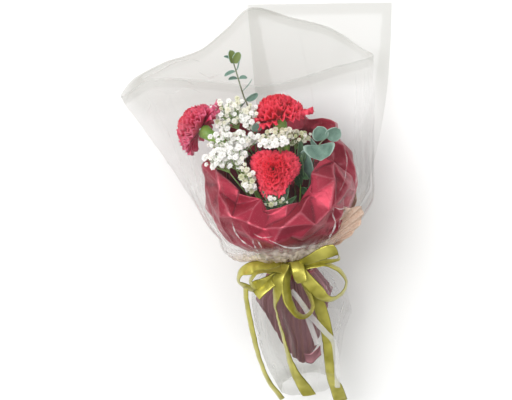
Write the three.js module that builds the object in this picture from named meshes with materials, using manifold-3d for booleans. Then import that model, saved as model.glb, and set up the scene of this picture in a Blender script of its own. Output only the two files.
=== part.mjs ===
// A wrapped mixed flower bouquet that lies on its back: three red carnations, baby's breath,
// eucalyptus and dark greens in a crumpled burgundy paper collar, with pink paper and two clear
// films round it, tied at the neck with a satin ribbon.
// Millimetres, +Z up. The head points to +Y, and the surface that it lies on is z = 0.
import * as THREE from 'three';
import Module from 'manifold-3d';

const wasm = await Module();
wasm.setup();

// ---- driving dimensions --------------------------------------------------------------------
const TIE_HEIGHT = 72; // centre of the tied neck above the surface
const RISE = THREE.MathUtils.degToRad(13); // slope of the bouquet's axis, up towards the head
const SIGHT = THREE.MathUtils.degToRad(70); // angle between the axis and the line of sight

const FILM_WALL = 0.7;
const PAPER_WALL = 0.8;
const RIBBON_WALL = 0.8;
const RIBBON_WIDTH = 15;
const BLADE_WALL = 0.7; // leaves and petals

const COLLAR_NECK = 24.5; // outer radius of the burgundy paper under the ribbon
const PINK_NECK = 27;
const FILM_NECK = 29.6;
const BAND_RADIUS = 33; // the ribbon round them all
const COLLAR_RADIUS = 86; // the collar's widest ring
const COLLAR_LIP = 63; // radius of its opening
const TAIL_FLARE = -34; // where the wrappings are widest again below the tie
const BLOOM_RADIUS = 31;
const FLORET_RADIUS = 3.4;
const STEM_END = -86; // where the stems are cut, inside the paper's tail
const BINDING_RADIUS = 22;

const BACKING_FLOOR = 0; // lowest face of each layer where it lies on the surface
const FILM_FLOOR = 1.6; // over the backing; the rest of the film lies on the surface itself
const PINK_FLOOR = 3.0;
const COLLAR_FLOOR = 4.6;

const RING_STEPS = 36;
const TURN = 2 * Math.PI;

// ---- places --------------------------------------------------------------------------------
// x across, u along the axis from the tie towards the head, d off the axis towards the viewer
function at(x, u, d) {
  const along = Math.cos(RISE);
  const up = Math.sin(RISE);
  return new THREE.Vector3(x, u * along - d * up, TIE_HEIGHT + u * up + d * along);
}

// the point at depth d that is seen v above the tie from the line of sight
function seen(x, v, d) {
  return at(x, (v + d * Math.cos(SIGHT)) / Math.sin(SIGHT), d);
}

// a direction given across, along and off the axis
function direction(x, u, d) {
  return at(x, u, d).sub(at(0, 0, 0)).normalize();
}

function randomSource(seed) {
  let state = seed;
  return () => {
    state = (state + 0x6d2b79f5) | 0;
    let t = Math.imul(state ^ (state >>> 15), 1 | state);
    t = (t + Math.imul(t ^ (t >>> 7), 61 | t)) ^ t;
    return ((t ^ (t >>> 14)) >>> 0) / 4294967296;
  };
}

function lerp(a, b, t) {
  return a + (b - a) * t;
}

// ---- solids --------------------------------------------------------------------------------
function solidFrom(points, faces) {
  const vertProperties = Float32Array.from(points.flatMap((p) => [p.x, p.y, p.z]));
  const build = (list) => new wasm.Manifold(
    new wasm.Mesh({ numProp: 3, vertProperties, triVerts: Uint32Array.from(list.flat()) }),
  );
  const solid = build(faces);
  return solid.volume() > 0 ? solid : build(faces.map(([a, b, c]) => [a, c, b]));
}

// a thin sheet: its outer face runs through a grid of points, its inner face lies a wall behind
function sheetSolid(grid, wall, isRing) {
  const rows = grid.length;
  const columns = grid[0].length;
  const wrap = (c) => (isRing ? (c + columns) % columns : THREE.MathUtils.clamp(c, 0, columns - 1));
  const points = grid.flat();
  const inner = grid.flatMap((row, r) => row.map((p, c) => {
    const down = grid[Math.min(r + 1, rows - 1)][c].clone().sub(grid[Math.max(r - 1, 0)][c]);
    const across = row[wrap(c + 1)].clone().sub(row[wrap(c - 1)]);
    return p.clone().addScaledVector(across.cross(down).normalize(), wall);
  }));
  const offset = points.length;
  const faces = [];
  const quad = (a, b, c, d) => faces.push([a, b, c], [a, c, d]);
  const spans = isRing ? columns : columns - 1;
  for (let r = 0; r < rows - 1; r += 1) {
    for (let c = 0; c < spans; c += 1) {
      const a = r * columns + c;
      const b = r * columns + wrap(c + 1);
      quad(a, b, b + columns, a + columns);
      // the same diagonal on the inner face, so that the two never cross
      faces.push([a + offset, b + columns + offset, b + offset]);
      faces.push([a + offset, a + columns + offset, b + columns + offset]);
    }
  }
  const edge = (a, b) => quad(a + offset, b + offset, b, a);
  const last = (rows - 1) * columns;
  for (let c = 0; c < spans; c += 1) {
    edge(c, wrap(c + 1));
    edge(last + wrap(c + 1), last + c);
  }
  for (let r = 0; r < rows - 1 && !isRing; r += 1) {
    edge((r + 1) * columns, r * columns);
    edge(r * columns + columns - 1, (r + 1) * columns + columns - 1);
  }
  return solidFrom(points.concat(inner), faces);
}

// a round stem or branch through points, its radius going from one end's to the other's
function stemSolid(points, startRadius, endRadius, sides, steps) {
  const curve = new THREE.CatmullRomCurve3(points, false, 'centripetal');
  const frames = curve.computeFrenetFrames(steps, false);
  const ring = [];
  for (let i = 0; i <= steps; i += 1) {
    const centre = curve.getPointAt(i / steps);
    const radius = lerp(startRadius, endRadius, i / steps);
    for (let k = 0; k < sides; k += 1) {
      const angle = (TURN * k) / sides;
      ring.push(centre.clone()
        .addScaledVector(frames.normals[i], radius * Math.cos(angle))
        .addScaledVector(frames.binormals[i], radius * Math.sin(angle)));
    }
  }
  const faces = [];
  for (let i = 0; i < steps; i += 1) {
    for (let k = 0; k < sides; k += 1) {
      const a = i * sides + k;
      const b = i * sides + ((k + 1) % sides);
      faces.push([a, b, b + sides], [a, b + sides, a + sides]);
    }
  }
  for (let k = 1; k < sides - 1; k += 1) {
    faces.push([0, k + 1, k], [steps * sides, steps * sides + k, steps * sides + k + 1]);
  }
  return solidFrom(ring, faces);
}

// a local frame: z along the given way, y as near as it can be to the given up
function placement(origin, way, up) {
  const z = way.clone().normalize();
  const x = new THREE.Vector3().crossVectors(up, z).normalize();
  const y = new THREE.Vector3().crossVectors(z, x);
  return new THREE.Matrix4().makeBasis(x, y, z).setPosition(origin);
}

function moved(points, matrix) {
  return points.map((p) => p.clone().applyMatrix4(matrix));
}

// a body turned about the local z, closed on its axis at the first and the last height
function turnedSolid(matrix, profile, sides) {
  const ring = profile.flatMap(([radius, z]) => Array.from({ length: sides }, (_, k) => (
    new THREE.Vector3(radius * Math.cos((TURN * k) / sides), radius * Math.sin((TURN * k) / sides), z)
  )));
  const low = new THREE.Vector3(0, 0, profile[0][1]);
  const high = new THREE.Vector3(0, 0, profile[profile.length - 1][1]);
  const top = (profile.length - 1) * sides;
  const faces = [];
  for (let k = 0; k < sides; k += 1) {
    const n = (k + 1) % sides;
    for (let r = 0; r < top; r += sides) {
      faces.push([r + k, r + n, r + n + sides], [r + k, r + n + sides, r + k + sides]);
    }
    faces.push([ring.length, n, k], [ring.length + 1, top + k, top + n]);
  }
  return solidFrom(moved([...ring, low, high], matrix), faces);
}

// a leaf blade along +y, cupped, with its outline given by half width against length
function leafSolid(matrix, length, width, cup, outline, sides = 10) {
  const rim = [];
  for (let k = 0; k < sides; k += 1) {
    const angle = (TURN * (k + 0.5)) / sides;
    const t = 0.5 - 0.5 * Math.cos(angle);
    const half = 0.5 * width * outline(t) * Math.sign(Math.sin(angle));
    rim.push(new THREE.Vector3(half, t * length, cup * (half / width) ** 2 * 4));
  }
  const middle = new THREE.Vector3(0, length * 0.5, 0);
  const lift = new THREE.Vector3(0, 0, BLADE_WALL);
  const top = [middle, ...rim].map((p) => p.clone().add(lift));
  const points = [...top, middle, ...rim];
  const below = sides + 1;
  const faces = [];
  for (let k = 1; k <= sides; k += 1) {
    const n = (k % sides) + 1;
    faces.push([0, k, n], [below, below + n, below + k]);
    faces.push([k, below + k, below + n], [k, below + n, n]);
  }
  return solidFrom(moved(points, matrix), faces);
}

const roundLeaf = (t) => Math.sqrt(Math.max(0, 1 - (2 * t - 1) ** 2)) * 0.98 + 0.12;
const lanceLeaf = (t) => Math.sin(Math.PI * Math.min(1, t * 0.96 + 0.04)) ** 0.8 + 0.08;

// joins solids into one body, and fills the small pockets that they close off between them
function fused(solids) {
  const whole = solids.reduce((sum, solid) => sum.add(solid));
  return whole.decompose().filter((shell) => shell.volume() > 0)
    .reduce((sum, shell) => sum.add(shell));
}

// ---- nodes ---------------------------------------------------------------------------------
const bouquet = new THREE.Group();
const placed = [];

function addNode(name, solid, look) {
  const mesh = solid.getMesh();
  const geometry = new THREE.BufferGeometry();
  geometry.setAttribute('position', new THREE.BufferAttribute(mesh.vertProperties, 3));
  geometry.setIndex(new THREE.BufferAttribute(mesh.triVerts, 1));
  geometry.computeVertexNormals();
  const node = new THREE.Mesh(geometry, new THREE.MeshStandardMaterial(look));
  node.name = name;
  bouquet.add(node);
  placed.push({ name, solid, box: solid.boundingBox() });
}

// true if the solid keeps the gap to every node placed so far
function isClear(solid, gap = 0.35) {
  const box = solid.boundingBox();
  return placed.every((other) => {
    const apart = [0, 1, 2].some(
      (k) => box.min[k] - gap > other.box.max[k] || other.box.min[k] - gap > box.max[k],
    );
    return apart || solid.minGap(other.solid, gap) >= gap;
  });
}

// ---- looks ---------------------------------------------------------------------------------
const clearFilm = {
  color: 0xeceeea, roughness: 0.15, metalness: 0, transparent: true, opacity: 0.3,
};
const burgundyPaper = { color: 0x9c2240, roughness: 0.35, metalness: 0.1, side: THREE.DoubleSide };
const pinkPaper = { color: 0xd8b2a4, roughness: 0.6, metalness: 0 };
const satinRibbon = { color: 0xb4b440, roughness: 0.4, metalness: 0 };
const redPetal = { color: 0xd21432, roughness: 0.6, metalness: 0 };
const crimsonPetal = { color: 0xc02850, roughness: 0.6, metalness: 0 };
const stemGreen = { color: 0x6f9a3c, roughness: 0.55, metalness: 0 };
const eucalyptusGreen = { color: 0x6e9688, roughness: 0.6, metalness: 0 };
const darkGreen = { color: 0x2f4a2c, roughness: 0.5, metalness: 0 };
const floretWhite = { color: 0xf4f2e6, roughness: 0.7, metalness: 0 };
const bindingRubber = { color: 0xb98a5a, roughness: 0.7, metalness: 0 };

// ---- burgundy paper: pleated tail, tied neck, round bowl and folded ruffle -----------------
// how far the rim stands up, from nothing at the front to most at the back
function collarLift(angle) {
  return 27 * (1 - Math.sin(angle)) + 12 * Math.cos(angle) ** 2;
}

function collarTailEnd(angle) {
  return -(80 + 34 * Math.cos(2 * (angle - Math.PI / 2)));
}

function onFloor(point, level) {
  point.z = Math.max(point.z, level);
  return point;
}

function collarGrid() {
  const draw = randomSource(11);
  const creases = Array.from({ length: RING_STEPS }, () => [draw(), draw(), draw()]);
  const tail = [
    { t: 1, wide: 34, deep: 17, pleat: 2.2 },
    { t: 0.5, wide: 41, deep: 24, pleat: 2.6 },
    { t: 0, wide: 40, deep: 27, pleat: 1.8 },
  ];
  const bowl = [
    { u: -7, radius: COLLAR_NECK, lift: 0, crease: 0.8 },
    { u: 15.5, radius: COLLAR_NECK + 0.5, lift: 0, crease: 0.8 },
    { u: 26, radius: 44, lift: 0, crease: 1.6 },
    { u: 38, radius: 62, lift: 0, crease: 2.2 },
    { u: 52, radius: 75, lift: 0, crease: 2.6 },
    { u: 61, radius: COLLAR_RADIUS - 3, lift: 0.4, crease: 3 },
    { u: 75, radius: 79, lift: 0.8, crease: 5 },
    { u: 87, radius: COLLAR_LIP + 4, lift: 1, crease: 5 },
    { u: 83, radius: COLLAR_LIP - 6, lift: 1, crease: 2.5 },
    { u: 66, radius: COLLAR_LIP - 5, lift: 0.9, crease: 2 },
  ];
  const tailRow = (station) => creases.map((_, column) => {
    const angle = (TURN * column) / RING_STEPS;
    const reach = 1 + ((column % 2 ? 1 : -1) * station.pleat) / station.wide;
    const u = lerp(TAIL_FLARE, collarTailEnd(angle), station.t);
    return at(station.wide * reach * Math.cos(angle), u, station.deep * reach * Math.sin(angle));
  });
  const bowlRow = (station) => creases.map((crease, column) => {
    const angle = (TURN * column) / RING_STEPS;
    const fold = 0.55 * (column % 2 ? 1 : -1);
    const radius = station.radius + station.crease * (fold + crease[0] - 0.5);
    const shift = station.lift ? station.crease * (crease[1] - 0.5) : 0;
    const u = station.u + station.lift * collarLift(angle) + shift;
    const point = at(radius * Math.cos(angle), u, radius * Math.sin(angle));
    return onFloor(point, COLLAR_FLOOR + 0.4 * crease[2]);
  });
  return [...tail.map(tailRow), ...bowl.map(bowlRow)];
}

addNode('collar_paper', sheetSolid(collarGrid(), PAPER_WALL, true), burgundyPaper);

// ---- clear film round the bouquet: skirt, tied neck, wide cone and open rim ----------------
// [angle in degrees, x, y, z] of points round the rim: the front stands up, the back lies down
const FILM_RIM = [
  [0, 122, 213, 62], [24, 109, 214, 122], [48, 74, 214, 171], [72, 28, 209, 199],
  [92, -10, 209, 206], [114, -50, 218, 192], [136, -92, 224, 160], [154, -123, 224, 112],
  [170, -141, 213, 60], [186, -160, 203, 24], [202, -141, 215, 3], [222, -105, 230, 0],
  [244, -60, 247, 0], [268, -2, 270, 0], [290, 40, 262, 0], [314, 80, 245, 0],
  [338, 112, 219, 12],
].map(([degrees, x, y, z]) => [THREE.MathUtils.degToRad(degrees), new THREE.Vector3(x, y, z)]);

function filmRim(angle) {
  const turned = ((angle % TURN) + TURN) % TURN;
  const count = FILM_RIM.length;
  let k = count - 1;
  while (k > 0 && FILM_RIM[k][0] > turned) k -= 1;
  const start = FILM_RIM[k][0];
  const end = k === count - 1 ? TURN : FILM_RIM[k + 1][0];
  const curve = new THREE.CatmullRomCurve3(
    [-1, 0, 1, 2].map((step) => FILM_RIM[(k + step + count) % count][1]), false, 'catmullrom', 0.5,
  );
  return curve.getPoint((1 + (turned - start) / (end - start)) / 3);
}

const RUFFLE = 19.5; // where the film puffs out above the ribbon
const FILM_STATIONS = [
  { u: -152, wide: 29, high: 19, low: 42 },
  { u: -100, wide: 45, high: 29, low: 40 },
  { u: TAIL_FLARE, wide: 47, high: 34, low: 37 },
  { u: -7, wide: FILM_NECK, high: FILM_NECK, low: FILM_NECK },
  { u: 13.5, wide: FILM_NECK, high: FILM_NECK, low: FILM_NECK },
  { u: RUFFLE, wide: 46, high: 46, low: 46 },
  { u: 27, wide: 58, high: 60, low: 58 },
  { u: 39, wide: 71, high: 75, low: 73 },
  { u: 53, wide: 84, high: 88, low: 86 },
  { u: 66, wide: 92, high: 95, low: 92 },
];

// keeps a point of the film above the backing, or on the surface beside and below it
function onFilmFloor(point) {
  const beside = THREE.MathUtils.clamp((-16 - point.x) / 8, 0, 1);
  return onFloor(point, point.y < -100 ? BACKING_FLOOR : lerp(FILM_FLOOR, BACKING_FLOOR, beside));
}

// a point of the film's outer face on a station, spread by a clearance
function filmStation(station, angle, spread = 0) {
  const height = Math.sin(angle) > 0 ? station.high : station.low;
  const x = (station.wide + spread) * Math.cos(angle);
  return at(x, station.u, (height + spread) * Math.sin(angle));
}

function filmGrid() {
  const angles = Array.from({ length: RING_STEPS }, (_, k) => (TURN * k) / RING_STEPS);
  const rows = FILM_STATIONS.map((station) => angles.map((angle, column) => {
    const ruffle = station.u === RUFFLE ? (column % 2 ? 1.4 : -1.4) : 0;
    return onFilmFloor(filmStation(station, angle, ruffle));
  }));
  const last = rows[rows.length - 1];
  for (const t of [0.33, 0.67, 1]) {
    rows.push(angles.map((angle, column) => {
      const point = last[column].clone().lerp(filmRim(angle), t);
      return onFilmFloor(point);
    }));
  }
  return rows;
}

addNode('film_wrap', sheetSolid(filmGrid(), FILM_WALL, true), clearFilm);

// ---- clear film behind: it lies on the surface, with two square corners --------------------
const BACKING_TOP_LEFT = new THREE.Vector3(-7, 277, BACKING_FLOOR);
const BACKING_TOP_RIGHT = new THREE.Vector3(150, 258, BACKING_FLOOR);

function backingGrid() {
  const columns = 10;
  const first = 26;
  const angles = Array.from({ length: columns }, (_, k) => (TURN * (first + k)) / RING_STEPS);
  const near = 1.5;
  const steep = 4.2; // the films' clearance where they spread quickly
  const rows = [
    { u: -76, wide: 62, high: 40, low: 46 },
    { u: TAIL_FLARE, wide: 56, high: 40, low: 44 },
    ...FILM_STATIONS.slice(3),
  ].map((station) => angles.map((angle) => {
    const clearance = station.u > RUFFLE - 1 ? steep : near;
    const behind = station.u > 0 ? { ...station, u: station.u - near } : station;
    return onFloor(filmStation(behind, angle, clearance), BACKING_FLOOR);
  }));
  const last = rows[rows.length - 1];
  for (const t of [0.3, 0.65, 1]) {
    rows.push(last.map((point, column) => {
      const across = column / (columns - 1);
      const top = BACKING_TOP_LEFT.clone().lerp(BACKING_TOP_RIGHT, across);
      const ruled = point.clone().lerp(top, t);
      ruled.x += 9 * Math.sin(Math.PI * t) * across;
      ruled.z = lerp(point.z, top.z, Math.min(1, t * 1.5));
      return onFloor(ruled, BACKING_FLOOR);
    }));
  }
  return rows;
}

addNode('film_backing', sheetSolid(backingGrid(), FILM_WALL, false), clearFilm);

// ---- pink paper between the collar and the film, pleated, with one tall corner --------------
function pinkGrid() {
  const columns = 18;
  const first = 20;
  const stations = [[-7, PINK_NECK], [14.5, PINK_NECK], [21, 38.5], [27, 52.6], [39, 67.8], [53, 79.8], [64, 86.5]];
  return stations.map(([u, radius]) => Array.from({ length: columns }, (_, column) => {
    const angle = (TURN * (first + column)) / RING_STEPS;
    const reach = radius + (column % 2 ? 0.5 : -0.5);
    return onFloor(at(reach * Math.cos(angle), u, reach * Math.sin(angle)), PINK_FLOOR);
  }));
}

addNode('pink_paper', sheetSolid(pinkGrid(), 0.7, false), pinkPaper);

// ---- ribbon: band, bow and tails, one node -------------------------------------------------
// a strip along points [x, v, d] as seen, its width turned from one direction to another and
// gathered where an end goes into the knot
function ribbonStrip({ path, from, to, steps, knotted, width = RIBBON_WIDTH }) {
  const curve = new THREE.CatmullRomCurve3(path.map((p) => seen(...p)), false, 'centripetal');
  const [atStart, atEnd] = knotted;
  const grid = Array.from({ length: steps + 1 }, (_, i) => {
    const t = i / steps;
    const centre = curve.getPointAt(t);
    const tangent = curve.getTangentAt(t);
    const spread = Math.min(atStart ? 0.4 + 4.5 * t : 1, atEnd ? 0.4 + 4.5 * (1 - t) : 1, 1);
    const wide = direction(...from).lerp(direction(...to), t);
    wide.addScaledVector(tangent, -wide.dot(tangent)).setLength((spread * width) / 2);
    return [centre.clone().sub(wide), centre.clone().add(wide)];
  });
  return sheetSolid(grid, RIBBON_WALL, false);
}

function bandGrid() {
  const columns = 20;
  return [-3, 10.5].map((u) => Array.from({ length: columns }, (_, k) => {
    const angle = (TURN * k) / columns;
    return at(BAND_RADIUS * Math.cos(angle), u, BAND_RADIUS * Math.sin(angle));
  }));
}

const KNOT = [2, -8, 39];
const RIBBON_STRIPS = [
  // outer left loop, nearly edge on, and the rounder inner one
  { path: [KNOT, [-26, -4, 44], [-46, -3, 46], [-54, -12, 46], [-49, -22, 45], [-34, -20, 43],
    [-16, -13, 42], KNOT], from: [0, 0.8, 0.6], to: [0, 0.5, 0.9], steps: 9, knotted: [1, 1] },
  { path: [KNOT, [-18, -13, 53], [-34, -18, 58], [-37, -27, 57], [-24, -29, 54], [-8, -19, 47],
    KNOT], from: [0.1, 0.6, 0.8], to: [0.4, 0.8, 0.4], steps: 8, knotted: [1, 1] },
  // folded loop that stands up to the right, and the large open one below it
  { path: [KNOT, [20, 1, 58], [40, 4, 67], [50, -1, 63], [40, -8, 56], [20, -9, 49],
    KNOT], from: [0, 0.8, 0.6], to: [0, 0.7, 0.7], steps: 8, knotted: [1, 1] },
  { path: [KNOT, [28, -12, 44], [50, -17, 47], [59, -28, 48], [52, -40, 48], [36, -38, 48],
    [18, -24, 46], KNOT], from: [0, 0.4, 0.9], to: [0.1, 0.2, 0.9], steps: 9, knotted: [1, 1] },
  // drooping loop in front
  { path: [KNOT, [-9, -26, 56], [0, -43, 60], [14, -42, 59], [15, -26, 53], KNOT],
    from: [0.9, 0.2, 0.4], to: [0.2, 0.6, 0.8], steps: 8, knotted: [1, 1] },
  // three tails that lie over the skirt and run down to the surface, one from the outer loop
  { path: [[-50, -19, 45], [-47, -34, 44], [-44, -62, 43], [-39, -104, 38], [-24, -142, 28],
    [-10, -172, 8]], from: [0.5, 0.2, 0.9], to: [0.7, 0.2, 0.8], steps: 7, width: 11,
  knotted: [0, 0] },
  { path: [KNOT, [-11, -24, 42], [-17, -44, 42], [-12, -80, 40], [-5, -112, 38], [17, -148, 26],
    [22, -158, 18]], from: [0.9, 0.1, 0.4], to: [0.9, 0.5, 0], steps: 8, knotted: [1, 0] },
  { path: [KNOT, [15, -24, 41], [22, -46, 40], [27, -80, 40], [26, -112, 38], [32, -146, 24],
    [39, -172, 6]], from: [0.9, 0.3, 0.3], to: [0.98, 0.1, 0], steps: 8, knotted: [1, 0] },
];

function ribbonBow() {
  const knot = turnedSolid(
    placement(seen(2, -8, 32.6), direction(0, 0.1, 1), direction(0, 1, 0)),
    [[8, 0], [9.5, 5], [9, 10], [5.5, 14]], 7,
  );
  return fused([sheetSolid(bandGrid(), RIBBON_WALL, true), knot, ...RIBBON_STRIPS.map(ribbonStrip)]);
}

// ---- flowers -------------------------------------------------------------------------------
// every stem: [x, d] where it passes the tie, then [x, u, d] on its way to the head
function stemPath(neck, way) {
  const [x, d] = neck;
  return [at(x * 0.9, STEM_END, d * 0.9), at(x, -16, d), at(x, 10, d), ...way.map((p) => at(...p))];
}

const CARNATIONS = [
  { name: 'carnation_top', centre: [15.7, 174, -8], way: [0.12, 0.9, 0.38], radius: BLOOM_RADIUS,
    look: redPetal, seed: 3, neck: [3, -5], path: [[6, 60, -14], [10, 110, -20]],
    outline: () => 1 },
  { name: 'carnation_front', centre: [-2.4, 118, 27], way: [0, 0.55, 0.83], radius: BLOOM_RADIUS - 2,
    look: redPetal, seed: 5, neck: [0, 5.5], path: [[-1, 50, -1], [-2, 78, -8]],
    outline: (angle) => 1 + 0.12 * Math.sin(3 * angle) },
  { name: 'carnation_left', centre: [-83, 166, -9], way: [-0.85, 0.48, 0.15], radius: BLOOM_RADIUS - 2,
    look: crimsonPetal, seed: 8, neck: [-9, -1], path: [[-18, 60, -8], [-36, 105, -12], [-46, 128, -14]],
    outline: () => 1 },
];

// rings of petals from the outermost in: how many, their tilt off the disc, root and length
const PETAL_RINGS = [
  { count: 7, tilt: -6, root: 9, rise: -1, length: 23, span: 48 },
  { count: 6, tilt: 21, root: 8, rise: 4, length: 21, span: 54 },
  { count: 5, tilt: 46, root: 5, rise: 7, length: 18, span: 60 },
  { count: 2, tilt: 72, root: 2, rise: 9, length: 14, span: 84 },
];
const PETAL_FRILL = [1, -1, 1]; // the teeth of a petal's edge, side to side

function bloomSolid(bloom, matrix) {
  const draw = randomSource(bloom.seed);
  const size = bloom.radius / BLOOM_RADIUS;
  const core = turnedSolid(matrix, [[8, -6], [18, 1], [17, 8], [9, 14]]
    .map(([radius, z]) => [radius * size, z * size]), 8);
  const petals = PETAL_RINGS.flatMap((ring, index) => Array.from({ length: ring.count }, (_, k) => {
    const angle = (TURN * (k + 0.5 * (index % 2) + 0.16 * (draw() - 0.5))) / ring.count;
    const tilt = THREE.MathUtils.degToRad(ring.tilt + 8 * (draw() - 0.5));
    const outward = new THREE.Vector3(Math.cos(angle), Math.sin(angle), 0);
    const lateral = new THREE.Vector3(-Math.sin(angle), Math.cos(angle), 0);
    const way = outward.clone().multiplyScalar(Math.cos(tilt)).setZ(Math.sin(tilt));
    const normal = way.clone().cross(lateral);
    const root = outward.clone().multiplyScalar(ring.root).setZ(ring.rise);
    const length = ring.length * bloom.outline(angle) * (0.94 + 0.12 * draw());
    const half = (ring.root + length) * Math.tan(THREE.MathUtils.degToRad(ring.span / 2));
    const across = PETAL_FRILL.map((_, c) => (2 * c) / (PETAL_FRILL.length - 1) - 1);
    const edge = PETAL_FRILL.map((tooth, c) => {
      const side = across[c];
      return root.clone()
        .addScaledVector(way, length * (1 - 0.1 * side * side) + 1.4 * tooth)
        .addScaledVector(lateral, half * side)
        .addScaledVector(normal, 1.5 * tooth * (index ? 1 : 0.6));
    });
    const base = across.map((side) => root.clone().addScaledVector(lateral, 3 * side));
    const scale = (points) => moved(points.map((p) => p.multiplyScalar(size)), matrix);
    return sheetSolid([scale(base), scale(edge)], BLADE_WALL, false);
  }));
  return fused([core, ...petals]);
}

function addCarnation(bloom) {
  const way = direction(...bloom.way);
  const matrix = placement(at(...bloom.centre), way, direction(0, 1, -0.1));
  const size = bloom.radius / BLOOM_RADIUS;
  addNode(bloom.name, bloomSolid(bloom, matrix), bloom.look);
  const calyx = turnedSolid(matrix, [[2.4, -36], [4.8, -31], [6.2, -22], [6.6, -12], [8.4, -6.6]]
    .map(([radius, z]) => [radius * size, z * size]), 8);
  const foot = at(...bloom.centre).addScaledVector(way, -35 * size);
  const before = foot.clone().addScaledVector(way, -9);
  const stem = stemSolid([...stemPath(bloom.neck, bloom.path), before, foot], 2.3, 2.3, 5, 9);
  addNode(`${bloom.name}_stem`, stem.add(calyx), stemGreen);
}

// ---- eucalyptus and dark greens ------------------------------------------------------------
// leaves: [x, v, d] of the base as seen, the way it points and the way it faces, length and width
const LEAFY_STEMS = [
  { name: 'eucalyptus_top', look: eucalyptusGreen, outline: roundLeaf, neck: [-4, -12], radius: 1.5,
    path: [[-9, 60, -20], [-15, 120, -22]],
    tip: [[-20.9, 171.8, -14], [-25.4, 191.3, -11], [-29.3, 218.5, -7], [-31.6, 232, -5]],
    leaves: [
      { base: [-22.5, 180, -13], way: [0.8, 0.4, 0.3], face: [-0.2, -0.5, 0.8], size: [12, 9] },
      { base: [-22.5, 180, -13], way: [-0.9, -0.2, 0.2], face: [0.1, 0.6, 0.7], size: [12, 8] },
      { base: [-27.5, 207, -9], way: [1, 0.1, 0.2], face: [0, 0.97, 0.2], size: [10, 9] },
      { base: [-27.5, 207, -9], way: [-1, 0.1, 0.1], face: [0, 0.97, 0.2], size: [9, 8] },
      { base: [-29.6, 219, -7], way: [-0.95, -0.1, 0.2], face: [0.1, 0.95, 0.2], size: [11, 8] },
      { base: [-29.6, 219, -7], way: [0.5, 0.8, 0.3], face: [0.85, -0.5, 0.1], size: [10, 7] },
      { base: [-31, 230, -5], way: [-0.3, 0.9, 0.2], face: [0.3, -0.1, 0.95], size: [14, 8] },
      { base: [-31, 230, -5], way: [0.6, 0.8, 0.1], face: [-0.2, -0.1, 0.97], size: [13, 7] },
    ] },
  { name: 'eucalyptus_right', look: eucalyptusGreen, outline: roundLeaf, neck: [13, 2], radius: 1.5,
    path: [[24, 60, 5], [34, 96, 10]],
    tip: [[42, 112, 15], [50, 124, 18], [60, 130, 20]],
    leaves: [
      { base: [44, 115, 16], way: [0.55, -0.3, 0.75], face: [-0.3, 0.45, 0.85], size: [24, 22] },
      { base: [44, 115, 16], way: [-0.7, 0.4, 0.4], face: [0.2, -0.4, 0.9], size: [20, 17] },
      { base: [52, 125, 18], way: [-0.1, 0.95, 0.2], face: [0.1, -0.25, 0.95], size: [17, 17] },
      { base: [59, 129, 20], way: [0.95, 0.2, 0.2], face: [-0.2, 0.1, 0.97], size: [17, 16] },
      { base: [41, 112, 15], way: [-0.4, -0.8, 0.35], face: [-0.85, 0.4, 0.4], size: [30, 15] },
      { base: [38, 104, 13], way: [0.8, 0.3, -0.2], face: [0.1, 0.2, 0.95], size: [18, 16] },
    ] },
  { name: 'eucalyptus_middle', look: eucalyptusGreen, outline: roundLeaf, neck: [-2, -8], radius: 1.4,
    path: [[-6, 60, -8], [-12, 105, -6]],
    tip: [[-15, 128, -3], [-17, 146, 0]],
    leaves: [
      { base: [-16, 134, -1], way: [-0.7, 0.6, 0.4], face: [0.2, -0.4, 0.9], size: [17, 14] },
      { base: [-16, 134, -1], way: [0.8, 0.5, 0.3], face: [-0.2, -0.3, 0.9], size: [16, 13] },
      { base: [-17, 145, 0], way: [0.1, 0.95, 0.3], face: [0, -0.3, 0.95], size: [11, 11] },
    ] },
  { name: 'greens_right', look: darkGreen, outline: lanceLeaf, neck: [8, 11], radius: 1.3,
    path: [[14, 50, 14], [20, 76, 14]],
    tip: [[23, 84, 15], [26, 98, 15], [27, 106, 14]],
    leaves: [
      { base: [21.5, 78, 15], way: [0.9, -0.1, 0.5], face: [-0.4, -0.2, 0.9], size: [30, 10] },
      { base: [21.5, 78, 15], way: [0.3, 0.1, 0.97], face: [-0.95, 0.3, 0.1], size: [26, 9] },
      { base: [25, 95, 15], way: [0.3, -0.1, 0.95], face: [-0.9, 0.4, 0.2], size: [17, 8] },
      { base: [27, 105, 14], way: [0.35, 0.9, 0], face: [-0.5, -0.2, 0.8], size: [14, 7] },
    ] },
  { name: 'greens_front', look: darkGreen, outline: lanceLeaf, neck: [1, 14], radius: 1.3,
    path: [[0, 40, 26], [-2, 62, 36]],
    tip: [[-4, 56, 41], [-5, 62, 44]],
    leaves: [
      { base: [-3, 52, 39], way: [0.9, 0.4, 0.3], face: [-0.2, -0.2, 0.95], size: [27, 9] },
      { base: [-3, 52, 39], way: [-0.9, 0.45, 0.2], face: [0.2, -0.3, 0.95], size: [27, 9] },
      { base: [-4, 59, 43], way: [0.85, 0.5, 0.1], face: [-0.1, -0.2, 0.97], size: [24, 8] },
      { base: [-4, 59, 43], way: [-0.8, 0.55, 0.1], face: [0.1, -0.2, 0.97], size: [24, 8] },
      { base: [-5, 62, 44], way: [-0.1, 0.97, 0], face: [0, 0, 1], size: [20, 8] },
    ] },
];

// the point of a stem's centre line that is nearest to a given one
function nearestOnStem(points, steps, target) {
  const line = new THREE.CatmullRomCurve3(points, false, 'centripetal').getSpacedPoints(steps);
  const nearest = line.slice(1).map((end, i) => (
    new THREE.Line3(line[i], end).closestPointToPoint(target, true, new THREE.Vector3())
  ));
  return nearest.reduce((a, b) => (a.distanceTo(target) < b.distanceTo(target) ? a : b));
}

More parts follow.
